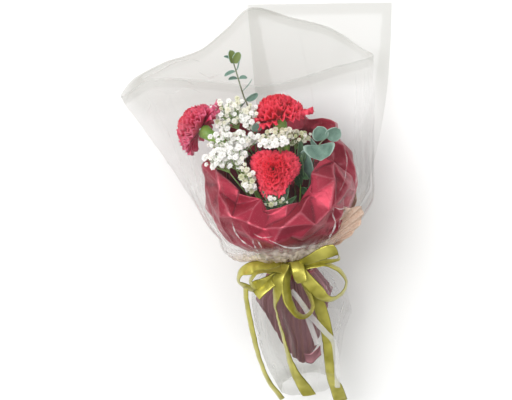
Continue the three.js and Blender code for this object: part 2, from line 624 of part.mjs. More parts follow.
function addLeafyStem(plant) {
  const steps = 10;
  const points = [...stemPath(plant.neck, plant.path), ...plant.tip.map((p) => seen(...p))];
  const stem = stemSolid(points, plant.radius, 0.8, 4, steps);
  const leaves = plant.leaves.map(({ base, way, face, size: [length, width] }) => {
    const growth = direction(...way);
    const normal = direction(...face);
    normal.addScaledVector(growth, -normal.dot(growth)).normalize();
    const foot = nearestOnStem(points, steps, seen(...base)).addScaledVector(growth, -0.6);
    const matrix = placement(foot, normal, growth);
    return leafSolid(matrix, length, width, 0.12 * width, plant.outline, 8);
  });
  addNode(plant.name, fused([stem, ...leaves]), plant.look);
}

// ---- baby's breath -------------------------------------------------------------------------
// clusters: [x, v, d] of the middle as seen, its half sizes along x, v and d, and its florets
const SPRAYS = [
  { name: 'gypsophila_top', neck: [-9, -8], path: [[-14, 60, -17], [-20, 115, -19]], seed: 21,
    clusters: [
      { middle: [-34, 172, -6], spread: [16, 17, 10], count: 9 },
      { middle: [-14, 168, -4], spread: [12, 15, 9], count: 6 },
    ] },
  { name: 'gypsophila_left', neck: [-15, -3], path: [[-26, 60, 0], [-35, 92, 4]], seed: 22,
    clusters: [
      { middle: [-56, 146, 12], spread: [15, 12, 10], count: 8 },
      { middle: [-33, 143, 10], spread: [14, 12, 8], count: 7 },
    ] },
  { name: 'gypsophila_left_front', neck: [-14, 5], path: [[-22, 55, 11], [-32, 84, 15]], seed: 23,
    clusters: [
      { middle: [-62, 124, 22], spread: [16, 12, 9], count: 8 },
      { middle: [-45, 122, 24], spread: [13, 13, 9], count: 8 },
    ] },
  { name: 'gypsophila_middle', neck: [8, -3], path: [[14, 60, -4], [19, 100, -6]], seed: 24,
    clusters: [
      { middle: [24, 141, 4], spread: [15, 10, 8], count: 7 },
      { middle: [6, 147, 11], spread: [18, 8, 9], count: 8 },
    ] },
  { name: 'gypsophila_front', neck: [-8, 12], path: [[-13, 48, 20], [-20, 68, 26]], seed: 25,
    clusters: [
      { middle: [-33, 96, 33], spread: [9, 17, 8], count: 7 },
      { middle: [-10, 70, 46], spread: [17, 6, 6], count: 6 },
    ] },
];

// a four-lobed star domed on both sides, with its stalk run back to the hub that it grows from
function floretSolid(centre, hub, way) {
  const lobes = placement(centre, way, direction(0.3, 1, 0.2));
  const rim = moved(Array.from({ length: 8 }, (_, k) => {
    const radius = k % 2 ? FLORET_RADIUS * 0.6 : FLORET_RADIUS;
    return new THREE.Vector3(radius * Math.cos((TURN * k) / 8), radius * Math.sin((TURN * k) / 8), 0);
  }), lobes);
  const back = centre.clone().sub(hub).normalize();
  const stalk = (origin, radius, shift) => moved([0, 1, 2].map((k) => new THREE.Vector3(
    radius * Math.cos((TURN * k) / 3), radius * Math.sin((TURN * k) / 3), shift,
  )), placement(origin, back, direction(0.3, 1, 0.2)));
  const top = centre.clone().add(new THREE.Vector3(0, 0, 2).transformDirection(lobes).setLength(2));
  const points = [...rim, ...stalk(centre, 0.9, -2), ...stalk(hub, 0.6, 0), top];
  const faces = rim.map((_, k) => [11 + 3, k, (k + 1) % 8]);
  // the underside joins eight rim points to the stalk's three
  const under = [0, 0, 0, 1, 1, 1, 2, 2, 0];
  for (let k = 0; k < 8; k += 1) {
    faces.push([8 + under[k], (k + 1) % 8, k]);
    if (under[k] !== under[k + 1]) faces.push([8 + under[k], 8 + under[k + 1], (k + 1) % 8]);
  }
  for (let k = 0; k < 3; k += 1) {
    const n = (k + 1) % 3;
    faces.push([8 + k, 11 + k, 11 + n], [8 + k, 11 + n, 8 + n]);
  }
  faces.push([11, 13, 12]);
  return solidFrom(points, faces);
}

// true if two florets keep off each other and off each other's stalk
function missEachOther(a, b) {
  const off = (stalk, centre) => (
    stalk.closestPointToPoint(centre, true, new THREE.Vector3()).distanceTo(centre)
  );
  return a.end.distanceTo(b.end) > 1.95 * FLORET_RADIUS
    && Math.min(off(a, b.end), off(b, a.end)) > 1.25 * FLORET_RADIUS;
}

function addSpray(spray) {
  const draw = randomSource(spray.seed);
  const start = stemPath(spray.neck, spray.path);
  const fork = start[start.length - 1];
  const solids = [stemSolid(start, 1.3, 1.2, 4, 6)];
  const stalks = [];
  for (const { middle: [x, v, d], spread, count } of spray.clusters) {
    const foot = fork.clone().lerp(start[start.length - 2], 0.03);
    const head = seen(x, v, d).lerp(fork, 0.2);
    solids.push(stemSolid([foot, head], 1.2, 0.9, 3, 1));
    for (let tries = 0, made = 0; made < count && tries < count * 14; tries += 1) {
      const offset = spread.map((half) => half * (2 * draw() - 1));
      const centre = seen(x + offset[0], v + offset[1], d + offset[2]);
      const inside = Math.hypot(...offset.map((value, k) => value / spread[k])) < 1;
      const hub = foot.clone().lerp(head, 0.3 + (0.66 * made) / count);
      const stalk = new THREE.Line3(hub, centre);
      if (!inside || !stalks.every((other) => missEachOther(stalk, other))) continue;
      const way = centre.clone().sub(hub).normalize().add(direction(0, 0.2, 0.6));
      const floret = floretSolid(centre, hub, way);
      if (!isClear(floret)) continue;
      stalks.push(stalk);
      solids.push(floret);
      made += 1;
    }
  }
  addNode(spray.name, fused(solids), floretWhite);
}

// ---- the binding round the stems, inside the paper -----------------------------------------
function bindingGrid() {
  const columns = 16;
  return [-20, -16].map((u) => Array.from({ length: columns }, (_, k) => {
    const angle = (TURN * k) / columns;
    return at(BINDING_RADIUS * Math.cos(angle), u, BINDING_RADIUS * Math.sin(angle));
  }));
}

addNode('ribbon', ribbonBow(), satinRibbon);
addNode('stem_binding', sheetSolid(bindingGrid(), 1.2, true), bindingRubber);
CARNATIONS.forEach(addCarnation);
LEAFY_STEMS.forEach(addLeafyStem);
SPRAYS.forEach(addSpray);

// the origin goes below the middle of the whole, on the surface
const whole = new THREE.Box3().setFromObject(bouquet);
bouquet.position.set(-(whole.min.x + whole.max.x) / 2, -(whole.min.y + whole.max.y) / 2, -whole.min.z);

export default bouquet;
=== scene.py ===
# A mixed bouquet laid on its back: three carnations, baby's breath and eucalyptus in a burgundy
# paper collar, wrapped in clear film and tied with a satin ribbon.
# Lengths in the settings are millimetres, and every mesh is in metres in the frame of the model.
import math
import random

import bmesh
import bpy
from mathutils import Matrix, Vector, noise
from mathutils.bvhtree import BVHTree


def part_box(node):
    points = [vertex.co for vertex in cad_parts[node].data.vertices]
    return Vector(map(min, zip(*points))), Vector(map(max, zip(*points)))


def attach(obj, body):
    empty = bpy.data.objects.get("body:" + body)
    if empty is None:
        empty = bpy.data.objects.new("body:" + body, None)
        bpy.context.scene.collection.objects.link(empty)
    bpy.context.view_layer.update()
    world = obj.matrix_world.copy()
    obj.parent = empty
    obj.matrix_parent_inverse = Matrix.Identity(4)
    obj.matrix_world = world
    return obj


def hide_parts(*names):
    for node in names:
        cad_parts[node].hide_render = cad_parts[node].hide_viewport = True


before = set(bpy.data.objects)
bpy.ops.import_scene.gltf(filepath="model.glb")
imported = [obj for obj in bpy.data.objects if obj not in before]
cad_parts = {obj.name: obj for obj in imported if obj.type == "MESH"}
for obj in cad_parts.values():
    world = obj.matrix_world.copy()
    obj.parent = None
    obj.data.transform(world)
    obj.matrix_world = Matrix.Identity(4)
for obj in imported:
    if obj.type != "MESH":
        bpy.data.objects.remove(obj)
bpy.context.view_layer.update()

# the bouquet's own axis
mm = 0.001
rise = math.radians(13)  # slope of the axis, up towards the flower heads
sight = math.radians(70)  # between the axis and the line of sight
acrossWay = Vector((1, 0, 0))
alongWay = Vector((0, math.cos(rise), math.sin(rise)))
offWay = Vector((0, -math.sin(rise), math.cos(rise)))
bindingLow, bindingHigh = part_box("stem_binding")
tie = (bindingLow + bindingHigh) / 2 + 18 * mm * alongWay  # the middle of the tied neck
sightWay = offWay * math.sin(sight) + alongWay * math.cos(sight)  # towards the viewer
turn = 2 * math.pi


def at(x, u, d):  # across, along the axis from the tie, and off the axis towards the viewer
    return tie + mm * (x * acrossWay + u * alongWay + d * offWay)


def seen(x, v, d):  # the point at depth d that shows v above the tie
    return at(x, (v + d * math.cos(sight)) / math.sin(sight), d)


def direction(x, u, d):
    return (x * acrossWay + u * alongWay + d * offWay).normalized()


def mix(a, b, t):
    return a + (b - a) * t


def smooth(low, high, value):
    t = min(1, max(0, (value - low) / (high - low)))
    return t * t * (3 - 2 * t)


def curveStep(a, b, c, d, f):  # from b to c on a smooth curve that also heeds a and d
    return 0.5 * (2 * b + (c - a) * f + (2 * a - 5 * b + 4 * c - d) * f * f
                  + (3 * b - a - 3 * c + d) * f * f * f)


def smoothPath(points, t):  # a Catmull-Rom curve through numbers or vectors
    last = len(points) - 1
    k = min(int(t * last), last - 1)
    return curveStep(*(points[min(max(k + i, 0), last)] for i in (-1, 0, 1, 2)), t * last - k)


def bendRun(points, steps):  # a smooth run through points
    return [smoothPath(points, i / steps) for i in range(steps + 1)]


def branch(points, steps, thick, thin):  # a smooth run and its radii
    return bendRun(points, steps), [mix(thick, thin, i / steps) for i in range(steps + 1)]


# meshes and pieces
def startMesh():
    bm = bmesh.new()
    bm.loops.layers.uv.new("UVMap")
    return bm


def gridMesh(columns, rows, place, ring=False, marks=()):
    # a grid shaped by place(s, t), both 0 to 1; with marks, place also gives a value for each
    bm = startMesh()
    bmesh.ops.create_grid(bm, x_segments=columns, y_segments=rows, size=0.5, calc_uvs=True)
    layers = [bm.verts.layers.float.new(mark) for mark in marks]
    for vertex in bm.verts:
        found = place(vertex.co.x + 0.5, vertex.co.y + 0.5)
        vertex.co = found[0] if marks else found
        for k, layer in enumerate(layers):
            vertex[layer] = found[k + 1]
    if ring:
        bmesh.ops.remove_doubles(bm, verts=bm.verts, dist=1e-6)
    return bm


def addPart(whole, part):  # puts a bmesh into another one
    mesh = bpy.data.meshes.new("part")
    part.to_mesh(mesh)
    part.free()
    whole.from_mesh(mesh)
    bpy.data.meshes.remove(mesh)


def tubeMesh(runs, sides):  # stems and branches: a closed tube for each run and its radii
    curve = bpy.data.curves.new("run", "CURVE")
    curve.dimensions = "3D"
    curve.bevel_depth = 1
    curve.bevel_resolution = max(0, (sides - 4) // 2)
    curve.use_fill_caps = True
    curve.resolution_u = 1
    for points, radii in runs:
        spline = curve.splines.new("POLY")
        spline.points.add(len(points) - 1)
        for point, place, radius in zip(spline.points, points, radii):
            point.co = (*place, 1)
            point.radius = radius * mm
    holder = bpy.data.objects.new("run", curve)
    bpy.context.scene.collection.objects.link(holder)
    mesh = bpy.data.meshes.new_from_object(holder.evaluated_get(
        bpy.context.evaluated_depsgraph_get()))
    bm = bmesh.new()
    bm.from_mesh(mesh)
    bpy.data.objects.remove(holder)
    bpy.data.curves.remove(curve)
    bpy.data.meshes.remove(mesh)
    return bm


def frameAt(origin, way, up):  # local z along way, y as near up as it can be
    z = way.normalized()
    x = up.cross(z).normalized()
    y = z.cross(x)
    matrix = Matrix((x, y, z)).transposed().to_4x4()
    matrix.translation = origin
    return matrix


def pieceName(node):  # gypsophila_top becomes gypsophilaTop
    words = node.split("_")
    return words[0] + "".join(word.title() for word in words[1:])


def makePiece(name, bm, skin, nodes=(), wall=0):
    mesh = bpy.data.meshes.new(name)
    bm.to_mesh(mesh)
    bm.free()
    piece = bpy.data.objects.new(name, mesh)
    bpy.context.scene.collection.objects.link(piece)
    mesh.materials.append(skin)
    mesh.shade_smooth()
    if wall:
        modifier = piece.modifiers.new("wall", "SOLIDIFY")
        modifier.thickness = wall * mm
        modifier.offset = 0
    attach(piece, "root")
    if nodes:
        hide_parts(*nodes)
    return piece


def setPointValues(piece, name, values):
    piece.data.attributes.new(name, "FLOAT", "POINT").data.foreach_set("value", values)


noise.seed_set(7)  # without it noise_vector is seeded by the clock, and the creases move
foldDraw = random.Random(7)
foldWays = [(Vector([foldDraw.gauss(0, 1) for _ in range(3)]).normalized(), foldDraw.random())
            for _ in range(12)]


def creases(point, first, length, warp):
    # sharp flat facets: straight triangle waves in three directions, bent by a slow noise
    bent = point + noise.noise_vector(point * 14) * warp * mm
    total = 0
    for way, phase in foldWays[first:first + 3]:
        total += abs((bent.dot(way) / (length * mm) + phase) % 2 - 1) * 2 - 1
    return total / 3


# materials: a noise Scale counts the features in a metre, so 22 gives clouds of about 45 mm
def colour(code):  # sRGB hex to linear
    channels = [int(code[i:i + 2], 16) / 255 for i in (1, 3, 5)]
    linear = [c / 12.92 if c <= 0.04045 else ((c + 0.055) / 1.055) ** 2.4 for c in channels]
    return (*linear, 1)


def addNode(tree, kind, values=None, links=None, **settings):
    node = tree.nodes.new(kind)
    for key, value in settings.items():
        setattr(node, key, value)
    for key, value in (values or {}).items():
        node.inputs[key].default_value = value
    for key, socket in (links or {}).items():
        tree.links.new(socket, node.inputs[key])
    return node


def startMaterial(name):
    material = bpy.data.materials.new(name)
    material.use_nodes = True
    material.node_tree.nodes.clear()
    return material, material.node_tree


def endMaterial(material, shader):
    addNode(material.node_tree, "ShaderNodeOutputMaterial", links={"Surface": shader})
    return material


def rampStops(node, stops):
    ramp = node.color_ramp
    while len(ramp.elements) < len(stops):
        ramp.elements.new(0.5)
    for element, (position, code) in zip(ramp.elements, stops):
        element.position = position
        element.color = colour(code)


def mottle(tree, scale, detail, dark, light):  # two tones in soft clouds, fixed to the piece
    place = addNode(tree, "ShaderNodeTexCoord")
    cloud = addNode(tree, "ShaderNodeTexNoise", {"Scale": scale, "Detail": detail},
                    {"Vector": place.outputs["Object"]})
    tone = addNode(tree, "ShaderNodeValToRGB", links={"Fac": cloud.outputs["Fac"]})
    rampStops(tone, [(0.3, dark), (0.7, light)])
    return place, cloud, tone


# coated gift paper, calendered and crumpled by hand: a pearly satin face that flashes pink
def satinPaper():
    material, tree = startMaterial("burgundy satin gift paper")
    place, _, tone = mottle(tree, 22, 3, "#80162a", "#a0243d")
    dull = addNode(tree, "ShaderNodeAttribute", attribute_name="dull")
    both = addNode(tree, "ShaderNodeMix", {7: colour("#926b70")},
                   {0: dull.outputs["Fac"], 6: tone.outputs["Color"]}, data_type="RGBA")
    # painted light: ridges turn paler, partly rubbed coating and partly a painted highlight, and
    # folds turn darker, a painted shade
    ridgeWearHighlightAndFoldShade = addNode(tree, "ShaderNodeAttribute", attribute_name="fold")
    line = addNode(tree, "ShaderNodeMapRange", {"From Min": 0.3, "From Max": 1, "To Max": 0.24},
                   {"Value": ridgeWearHighlightAndFoldShade.outputs["Fac"]})
    paintedValleyShade = addNode(tree, "ShaderNodeMapRange", {
        "From Min": -0.2, "From Max": -1, "To Min": 0, "To Max": 0.6},
        {"Value": ridgeWearHighlightAndFoldShade.outputs["Fac"]})
    ridgeWearAndHighlight = addNode(tree, "ShaderNodeMix", {7: colour("#dd8c98")},
                     {0: line.outputs["Result"], 6: both.outputs[2]}, data_type="RGBA")
    folded = addNode(tree, "ShaderNodeMix", {7: colour("#4a0e1c")},
                     {0: paintedValleyShade.outputs["Result"], 6: ridgeWearAndHighlight.outputs[2]}, data_type="RGBA")
    fibre = addNode(tree, "ShaderNodeTexNoise", {"Scale": 400, "Detail": 2},
                    {"Vector": place.outputs["Object"]})
    crumple = addNode(tree, "ShaderNodeTexNoise", {"Scale": 70, "Detail": 3, "Distortion": 1.2},
                      {"Vector": place.outputs["Object"]})
    fine = addNode(tree, "ShaderNodeBump", {"Strength": 0.05, "Distance": 0.0005},
                   {"Height": fibre.outputs["Fac"]})
    dents = addNode(tree, "ShaderNodeBump", {"Strength": 0.16, "Distance": 0.004},
                    {"Height": crumple.outputs["Fac"], "Normal": fine.outputs["Normal"]})
    shade = addNode(tree, "ShaderNodeBsdfPrincipled", {
        "Metallic": 0.58, "Roughness": 0.35, "Sheen Weight": 0.16, "Sheen Roughness": 0.35,
        "Sheen Tint": colour("#ffb0bc")},
        {"Base Color": folded.outputs[2], "Normal": dents.outputs["Normal"]})
    return endMaterial(material, shade.outputs["BSDF"])


# cast polypropylene film with a frosted border: clear and glossy, whiter where it is creased, and
# white along the narrow folds laid on it, a painted highlight
def clearFilm():
    material, tree = startMaterial("clear polypropylene film")
    place = addNode(tree, "ShaderNodeTexCoord")
    border = addNode(tree, "ShaderNodeAttribute", attribute_name="border")
    milk = addNode(tree, "ShaderNodeAttribute", attribute_name="milk")
    wrinkle = addNode(tree, "ShaderNodeTexNoise", {"Scale": 30, "Detail": 4, "Distortion": 0.8},
                      {"Vector": place.outputs["Object"]})
    bump = addNode(tree, "ShaderNodeBump", {"Strength": 0.35, "Distance": 0.004},
                   {"Height": wrinkle.outputs["Fac"]})
    tint = addNode(tree, "ShaderNodeMix", {6: colour("#fdfdfd"), 7: colour("#e0e0dd")},
                   {0: border.outputs["Fac"]}, data_type="RGBA")
    clear = addNode(tree, "ShaderNodeBsdfTransparent", links={"Color": tint.outputs[2]})
    crushed = addNode(tree, "ShaderNodeAttribute", attribute_name="crushed")
    hazeTone = addNode(tree, "ShaderNodeMix", {6: colour("#e9e9e6"), 7: colour("#f0e2d0")},
                       {0: crushed.outputs["Fac"]}, data_type="RGBA")
    haze = addNode(tree, "ShaderNodeBsdfPrincipled", {"Roughness": 0.3, "IOR": 1.49},
                   {"Base Color": hazeTone.outputs[2], "Normal": bump.outputs["Normal"]})
    share = addNode(tree, "ShaderNodeMath", {1: 0.62, 2: 0.005}, {0: milk.outputs["Fac"]},
                    operation="MULTIPLY_ADD", use_clamp=True)
    body = addNode(tree, "ShaderNodeMixShader", links={
        0: share.outputs["Value"], 1: clear.outputs["BSDF"], 2: haze.outputs["BSDF"]})
    gloss = addNode(tree, "ShaderNodeBsdfAnisotropic",
                    {"Color": (1, 1, 1, 1), "Roughness": 0.12},
                    {"Normal": bump.outputs["Normal"]})
    edge = addNode(tree, "ShaderNodeLayerWeight", {"Blend": 0.12},
                   {"Normal": bump.outputs["Normal"]})
    shine = addNode(tree, "ShaderNodeMath", {1: 0.24}, {0: edge.outputs["Fresnel"]},
                    operation="MULTIPLY")
    whole = addNode(tree, "ShaderNodeMixShader", links={
        0: shine.outputs["Value"], 1: body.outputs["Shader"], 2: gloss.outputs["BSDF"]})
    return endMaterial(material, whole.outputs["Shader"])


# uncoated tissue-weight wrapping paper, dyed a dusty pink: matte, a little see-through
def pinkTissue():
    material, tree = startMaterial("dusty pink wrapping paper")
    _, fibre, tone = mottle(tree, 420, 4, "#dcc1ab", "#ebd7c5")
    bump = addNode(tree, "ShaderNodeBump", {"Strength": 0.2, "Distance": 0.0008},
                   {"Height": fibre.outputs["Fac"]})
    shade = addNode(tree, "ShaderNodeBsdfPrincipled", {"Roughness": 0.62},
                    {"Base Color": tone.outputs["Color"], "Normal": bump.outputs["Normal"]})
    through = addNode(tree, "ShaderNodeBsdfTranslucent", links={"Color": tone.outputs["Color"]})
    whole = addNode(tree, "ShaderNodeMixShader", {0: 0.25}, {
        1: shade.outputs["BSDF"], 2: through.outputs["BSDF"]})
    return endMaterial(material, whole.outputs["Shader"])


# polyester satin ribbon, woven with the warp floating: soft long highlights along the weft
def satinWeave():
    material, tree = startMaterial("chartreuse satin ribbon")
    place = addNode(tree, "ShaderNodeUVMap", uv_map="UVMap")
    spread = addNode(tree, "ShaderNodeMapping", {"Scale": (1, 60, 1)},
                     {"Vector": place.outputs["UV"]})
    threads = addNode(tree, "ShaderNodeTexWave", {"Scale": 1.4, "Distortion": 0.3},
                      {"Vector": spread.outputs["Vector"]}, bands_direction="Y")
    tone = mottle(tree, 60, 2, "#979036", "#bfb857")[2]
    bump = addNode(tree, "ShaderNodeBump", {"Strength": 0.1, "Distance": 0.0003},
                   {"Height": threads.outputs["Fac"]})
    # the ribbon is darker along both edges
    split = addNode(tree, "ShaderNodeSeparateXYZ", links={"Vector": place.outputs["UV"]})
    offset = addNode(tree, "ShaderNodeMath", {1: 0.5}, {0: split.outputs["X"]},
                     operation="SUBTRACT")
    aside = addNode(tree, "ShaderNodeMath", links={0: offset.outputs["Value"]},
                    operation="ABSOLUTE")
    edgeDarkening = addNode(tree, "ShaderNodeMapRange", {
        "From Min": 0.44, "From Max": 0.48, "To Max": 0.75}, {"Value": aside.outputs["Value"]})
    edged = addNode(tree, "ShaderNodeMix", {7: colour("#6f6a1e")}, {
        0: edgeDarkening.outputs["Result"], 6: tone.outputs["Color"]}, data_type="RGBA")
    shade = addNode(tree, "ShaderNodeBsdfPrincipled", {
        "Roughness": 0.28, "Metallic": 0.55, "Sheen Weight": 0.25, "Sheen Roughness": 0.35,
        "Sheen Tint": colour("#f4f4a0")},
        {"Base Color": edged.outputs[2], "Normal": bump.outputs["Normal"]})
    return endMaterial(material, shade.outputs["BSDF"])


# a carnation petal: thin, velvety and a little translucent, so paler where it is lit through; its
# colour also runs from a painted shade at the root to a painted highlight at the rim
def petalSkin(name, deep, bright, edge, heart):
    material, tree = startMaterial(name)
    place = addNode(tree, "ShaderNodeTexCoord")
    reach = addNode(tree, "ShaderNodeAttribute", attribute_name="reach")
    cloud = addNode(tree, "ShaderNodeTexNoise", {"Scale": 160, "Detail": 3},
                    {"Vector": place.outputs["Object"]})
    # painted light: the ramp along the petal darkens the root, a painted shade in the crevices,
    # and lightens the rim, a painted highlight
    both = addNode(tree, "ShaderNodeMath", {1: 0.3}, {
        0: cloud.outputs["Fac"], 2: reach.outputs["Fac"]}, operation="MULTIPLY_ADD")
    tone = addNode(tree, "ShaderNodeValToRGB", links={"Fac": both.outputs["Value"]})
    rampStops(tone, [(0.25, deep), (0.85, bright), (1.0, edge)])
    inner = addNode(tree, "ShaderNodeAttribute", attribute_name="inner")
    hearted = addNode(tree, "ShaderNodeMix", {7: colour(heart)}, {
        0: inner.outputs["Fac"], 6: tone.outputs["Color"]}, data_type="RGBA")
    bump = addNode(tree, "ShaderNodeBump", {"Strength": 0.25, "Distance": 0.0008},
                   {"Height": cloud.outputs["Fac"]})
    shade = addNode(tree, "ShaderNodeBsdfPrincipled", {
        "Roughness": 0.5, "Sheen Weight": 0.25, "Sheen Roughness": 0.5,
        "Sheen Tint": colour(edge)},
        {"Base Color": hearted.outputs[2], "Normal": bump.outputs["Normal"]})
    through = addNode(tree, "ShaderNodeBsdfTranslucent", links={
        "Color": hearted.outputs[2], "Normal": bump.outputs["Normal"]})
    whole = addNode(tree, "ShaderNodeMixShader", {0: 0.38}, {
        1: shade.outputs["BSDF"], 2: through.outputs["BSDF"]})
    return endMaterial(material, whole.outputs["Shader"])


# a leaf with a waxy bloom: matte blue-green, a paler rim and midrib
def waxyLeaf(name, deep, pale, rim, roughness):
    material, tree = startMaterial(name)
    _, cloud, tone = mottle(tree, 130, 3, deep, pale)
    reach = addNode(tree, "ShaderNodeAttribute", attribute_name="reach")
    young = addNode(tree, "ShaderNodeAttribute", attribute_name="young")
    fresh = addNode(tree, "ShaderNodeMix", {7: colour("#65733a")}, {
        0: young.outputs["Fac"], 6: tone.outputs["Color"]}, data_type="RGBA")
    edge = addNode(tree, "ShaderNodeMapRange", {"From Min": 0.8, "From Max": 1.0},
                   {"Value": reach.outputs["Fac"]})
    mixed = addNode(tree, "ShaderNodeMix", {7: colour(rim)}, {
        0: edge.outputs["Result"], 6: fresh.outputs[2]}, data_type="RGBA")
    bump = addNode(tree, "ShaderNodeBump", {"Strength": 0.2, "Distance": 0.0008},
                   {"Height": cloud.outputs["Fac"]})
    shade = addNode(tree, "ShaderNodeBsdfPrincipled", {"Roughness": roughness},
                    {"Base Color": mixed.outputs[2], "Normal": bump.outputs["Normal"]})
    return endMaterial(material, shade.outputs["BSDF"])


# small double flowers: chalk white petals, cream to green where they are young
def floretSkin():
    material, tree = startMaterial("baby's breath petals")
    age = addNode(tree, "ShaderNodeAttribute", attribute_name="age")
    tone = addNode(tree, "ShaderNodeValToRGB", links={"Fac": age.outputs["Fac"]})
    rampStops(tone, [(0.0, "#c9cf9c"), (0.2, "#f3f1e0"), (0.45, "#ffffff")])
    shade = addNode(tree, "ShaderNodeBsdfPrincipled", {"Roughness": 0.6},
                    {"Base Color": tone.outputs["Color"]})
    through = addNode(tree, "ShaderNodeBsdfTranslucent", {"Color": colour("#fbfaf0")})
    whole = addNode(tree, "ShaderNodeMixShader", {0: 0.3}, {
        1: shade.outputs["BSDF"], 2: through.outputs["BSDF"]})
    return endMaterial(material, whole.outputs["Shader"])


# cut stems: fresh green skin, ribbed along, a little glossy
def greenStem(name, deep, pale):
    material, tree = startMaterial(name)
    _, cloud, tone = mottle(tree, 90, 3, deep, pale)
    bump = addNode(tree, "ShaderNodeBump", {"Strength": 0.15, "Distance": 0.0005},
                   {"Height": cloud.outputs["Fac"]})
    shade = addNode(tree, "ShaderNodeBsdfPrincipled", {"Roughness": 0.45},
                    {"Base Color": tone.outputs["Color"], "Normal": bump.outputs["Normal"]})
    return endMaterial(material, shade.outputs["BSDF"])


paperSkin = satinPaper()
filmSkin = clearFilm()
pinkSkin = pinkTissue()
ribbonSkin = satinWeave()
# petal colours: painted shade at the root, then the petal's red, then a painted highlight at the
# rim, then the heart
redSkin = petalSkin("red carnation petals", "#cc0828", "#f41c42", "#ff5470", "#f01636")
crimsonSkin = petalSkin("crimson carnation petals", "#c41648", "#e83c70", "#f07a9e", "#ec1636")
eucalyptusSkin = waxyLeaf("eucalyptus leaves", "#4c685c", "#6d8a7c", "#9ab0a4", 0.55)
darkLeafSkin = waxyLeaf("dark lance leaves", "#1f3a22", "#3c5c38", "#587650", 0.45)
whiteSkin = floretSkin()
stemSkin = greenStem("carnation stems", "#5f8a34", "#8fb04c")
twigSkin = greenStem("baby's breath branches", "#6d8a4a", "#93a86a")
woodySkin = greenStem("eucalyptus twigs", "#5a6048", "#7b8468")
bandSkin = greenStem("natural rubber band", "#a87c4e", "#c79a6a")
print("materials made")

# camera, lights and floor
view = {
    "elevation": 83, "roll": 8, "aimAcross": -27.5, "aimUp": 72.7, "width": 563.2,
    "distance": 3.0, "sensor": 36,  # metres, millimetres
    "pixel": 1.1, "tiePixel": (290, 262),  # the picture's scale, and where it shows the tie
}
studio = {  # metres and watts
    "lamps": [("key", (-0.9, 0.8, 2.1), 1.6, 38), ("fill", (1.5, -0.2, 1.7), 1.6, 12)],
    "aim": (0, 0, 0.05), "brightWay": (-0.4, 0.42, 0.81), "dim": 0.2, "bright": 1.15,
    "floor": 4, "floorDrop": 0.0008,
}


def placeCamera():
    tilt = math.radians(view["elevation"])
    up = Vector((0, math.sin(tilt), -math.cos(tilt)))
    back = Vector((0, math.cos(tilt), math.sin(tilt)))
    roll = math.radians(view["roll"])
    right = acrossWay * math.cos(roll) - up * math.sin(roll)
    top = acrossWay * math.sin(roll) + up * math.cos(roll)
    aim = tie + mm * (view["aimAcross"] * acrossWay + view["aimUp"] * up)
    data = bpy.data.cameras.new("camera")
    data.sensor_width = view["sensor"]
    data.lens = view["sensor"] * view["distance"] / (view["width"] * mm)
    camera = bpy.data.objects.new("camera", data)
    matrix = Matrix((right, top, back)).transposed().to_4x4()
    matrix.translation = aim + back * view["distance"]
    camera.matrix_world = matrix
    bpy.context.scene.collection.objects.link(camera)
    bpy.context.scene.camera = camera


def addLight(name, place, size, power):
    data = bpy.data.lights.new(name, "AREA")
    data.shape = "DISK"
    data.size = size
    data.energy = power
    light = bpy.data.objects.new(name, data)
    light.location = place
    away = Vector(place) - Vector(studio["aim"])
    light.rotation_euler = away.to_track_quat("Z", "Y").to_euler()
    bpy.context.scene.collection.objects.link(light)


def placeFloor():
    bm = bmesh.new()
    bmesh.ops.create_grid(bm, x_segments=1, y_segments=1, size=studio["floor"])
    mesh = bpy.data.meshes.new("floor")
    bm.to_mesh(mesh)
    bm.free()
    material, tree = startMaterial("pale floor")
    shade = addNode(tree, "ShaderNodeBsdfPrincipled", {
        "Base Color": colour("#ebebea"), "Roughness": 0.8})
    mesh.materials.append(endMaterial(material, shade.outputs["BSDF"]))
    floor = bpy.data.objects.new("floor", mesh)
    floor.location.z = -studio["floorDrop"]
    bpy.context.scene.collection.objects.link(floor)


def addStudio():  # a pale room, brightest above and a little to one side
    world = bpy.data.worlds.new("studio")
    world.use_nodes = True
    tree = world.node_tree
    tree.nodes.clear()
    around = addNode(tree, "ShaderNodeTexCoord")
    towards = addNode(tree, "ShaderNodeVectorMath", {1: studio["brightWay"]},
                      {0: around.outputs["Generated"]}, operation="DOT_PRODUCT")
    level = addNode(tree, "ShaderNodeMapRange", {
        "From Min": -0.1, "From Max": 1, "To Min": studio["dim"], "To Max": studio["bright"]},
        {"Value": towards.outputs["Value"]})
    light = addNode(tree, "ShaderNodeBackground", {"Color": (1, 1, 1, 1)},
                    {"Strength": level.outputs["Result"]})
    addNode(tree, "ShaderNodeOutputWorld", links={"Surface": light.outputs["Background"]})
    bpy.context.scene.world = world


placeCamera()
placeFloor()
for lamp in studio["lamps"]:
    addLight(*lamp)
addStudio()
bpy.context.scene.view_settings.view_transform = "Standard"
print("camera and lights placed")

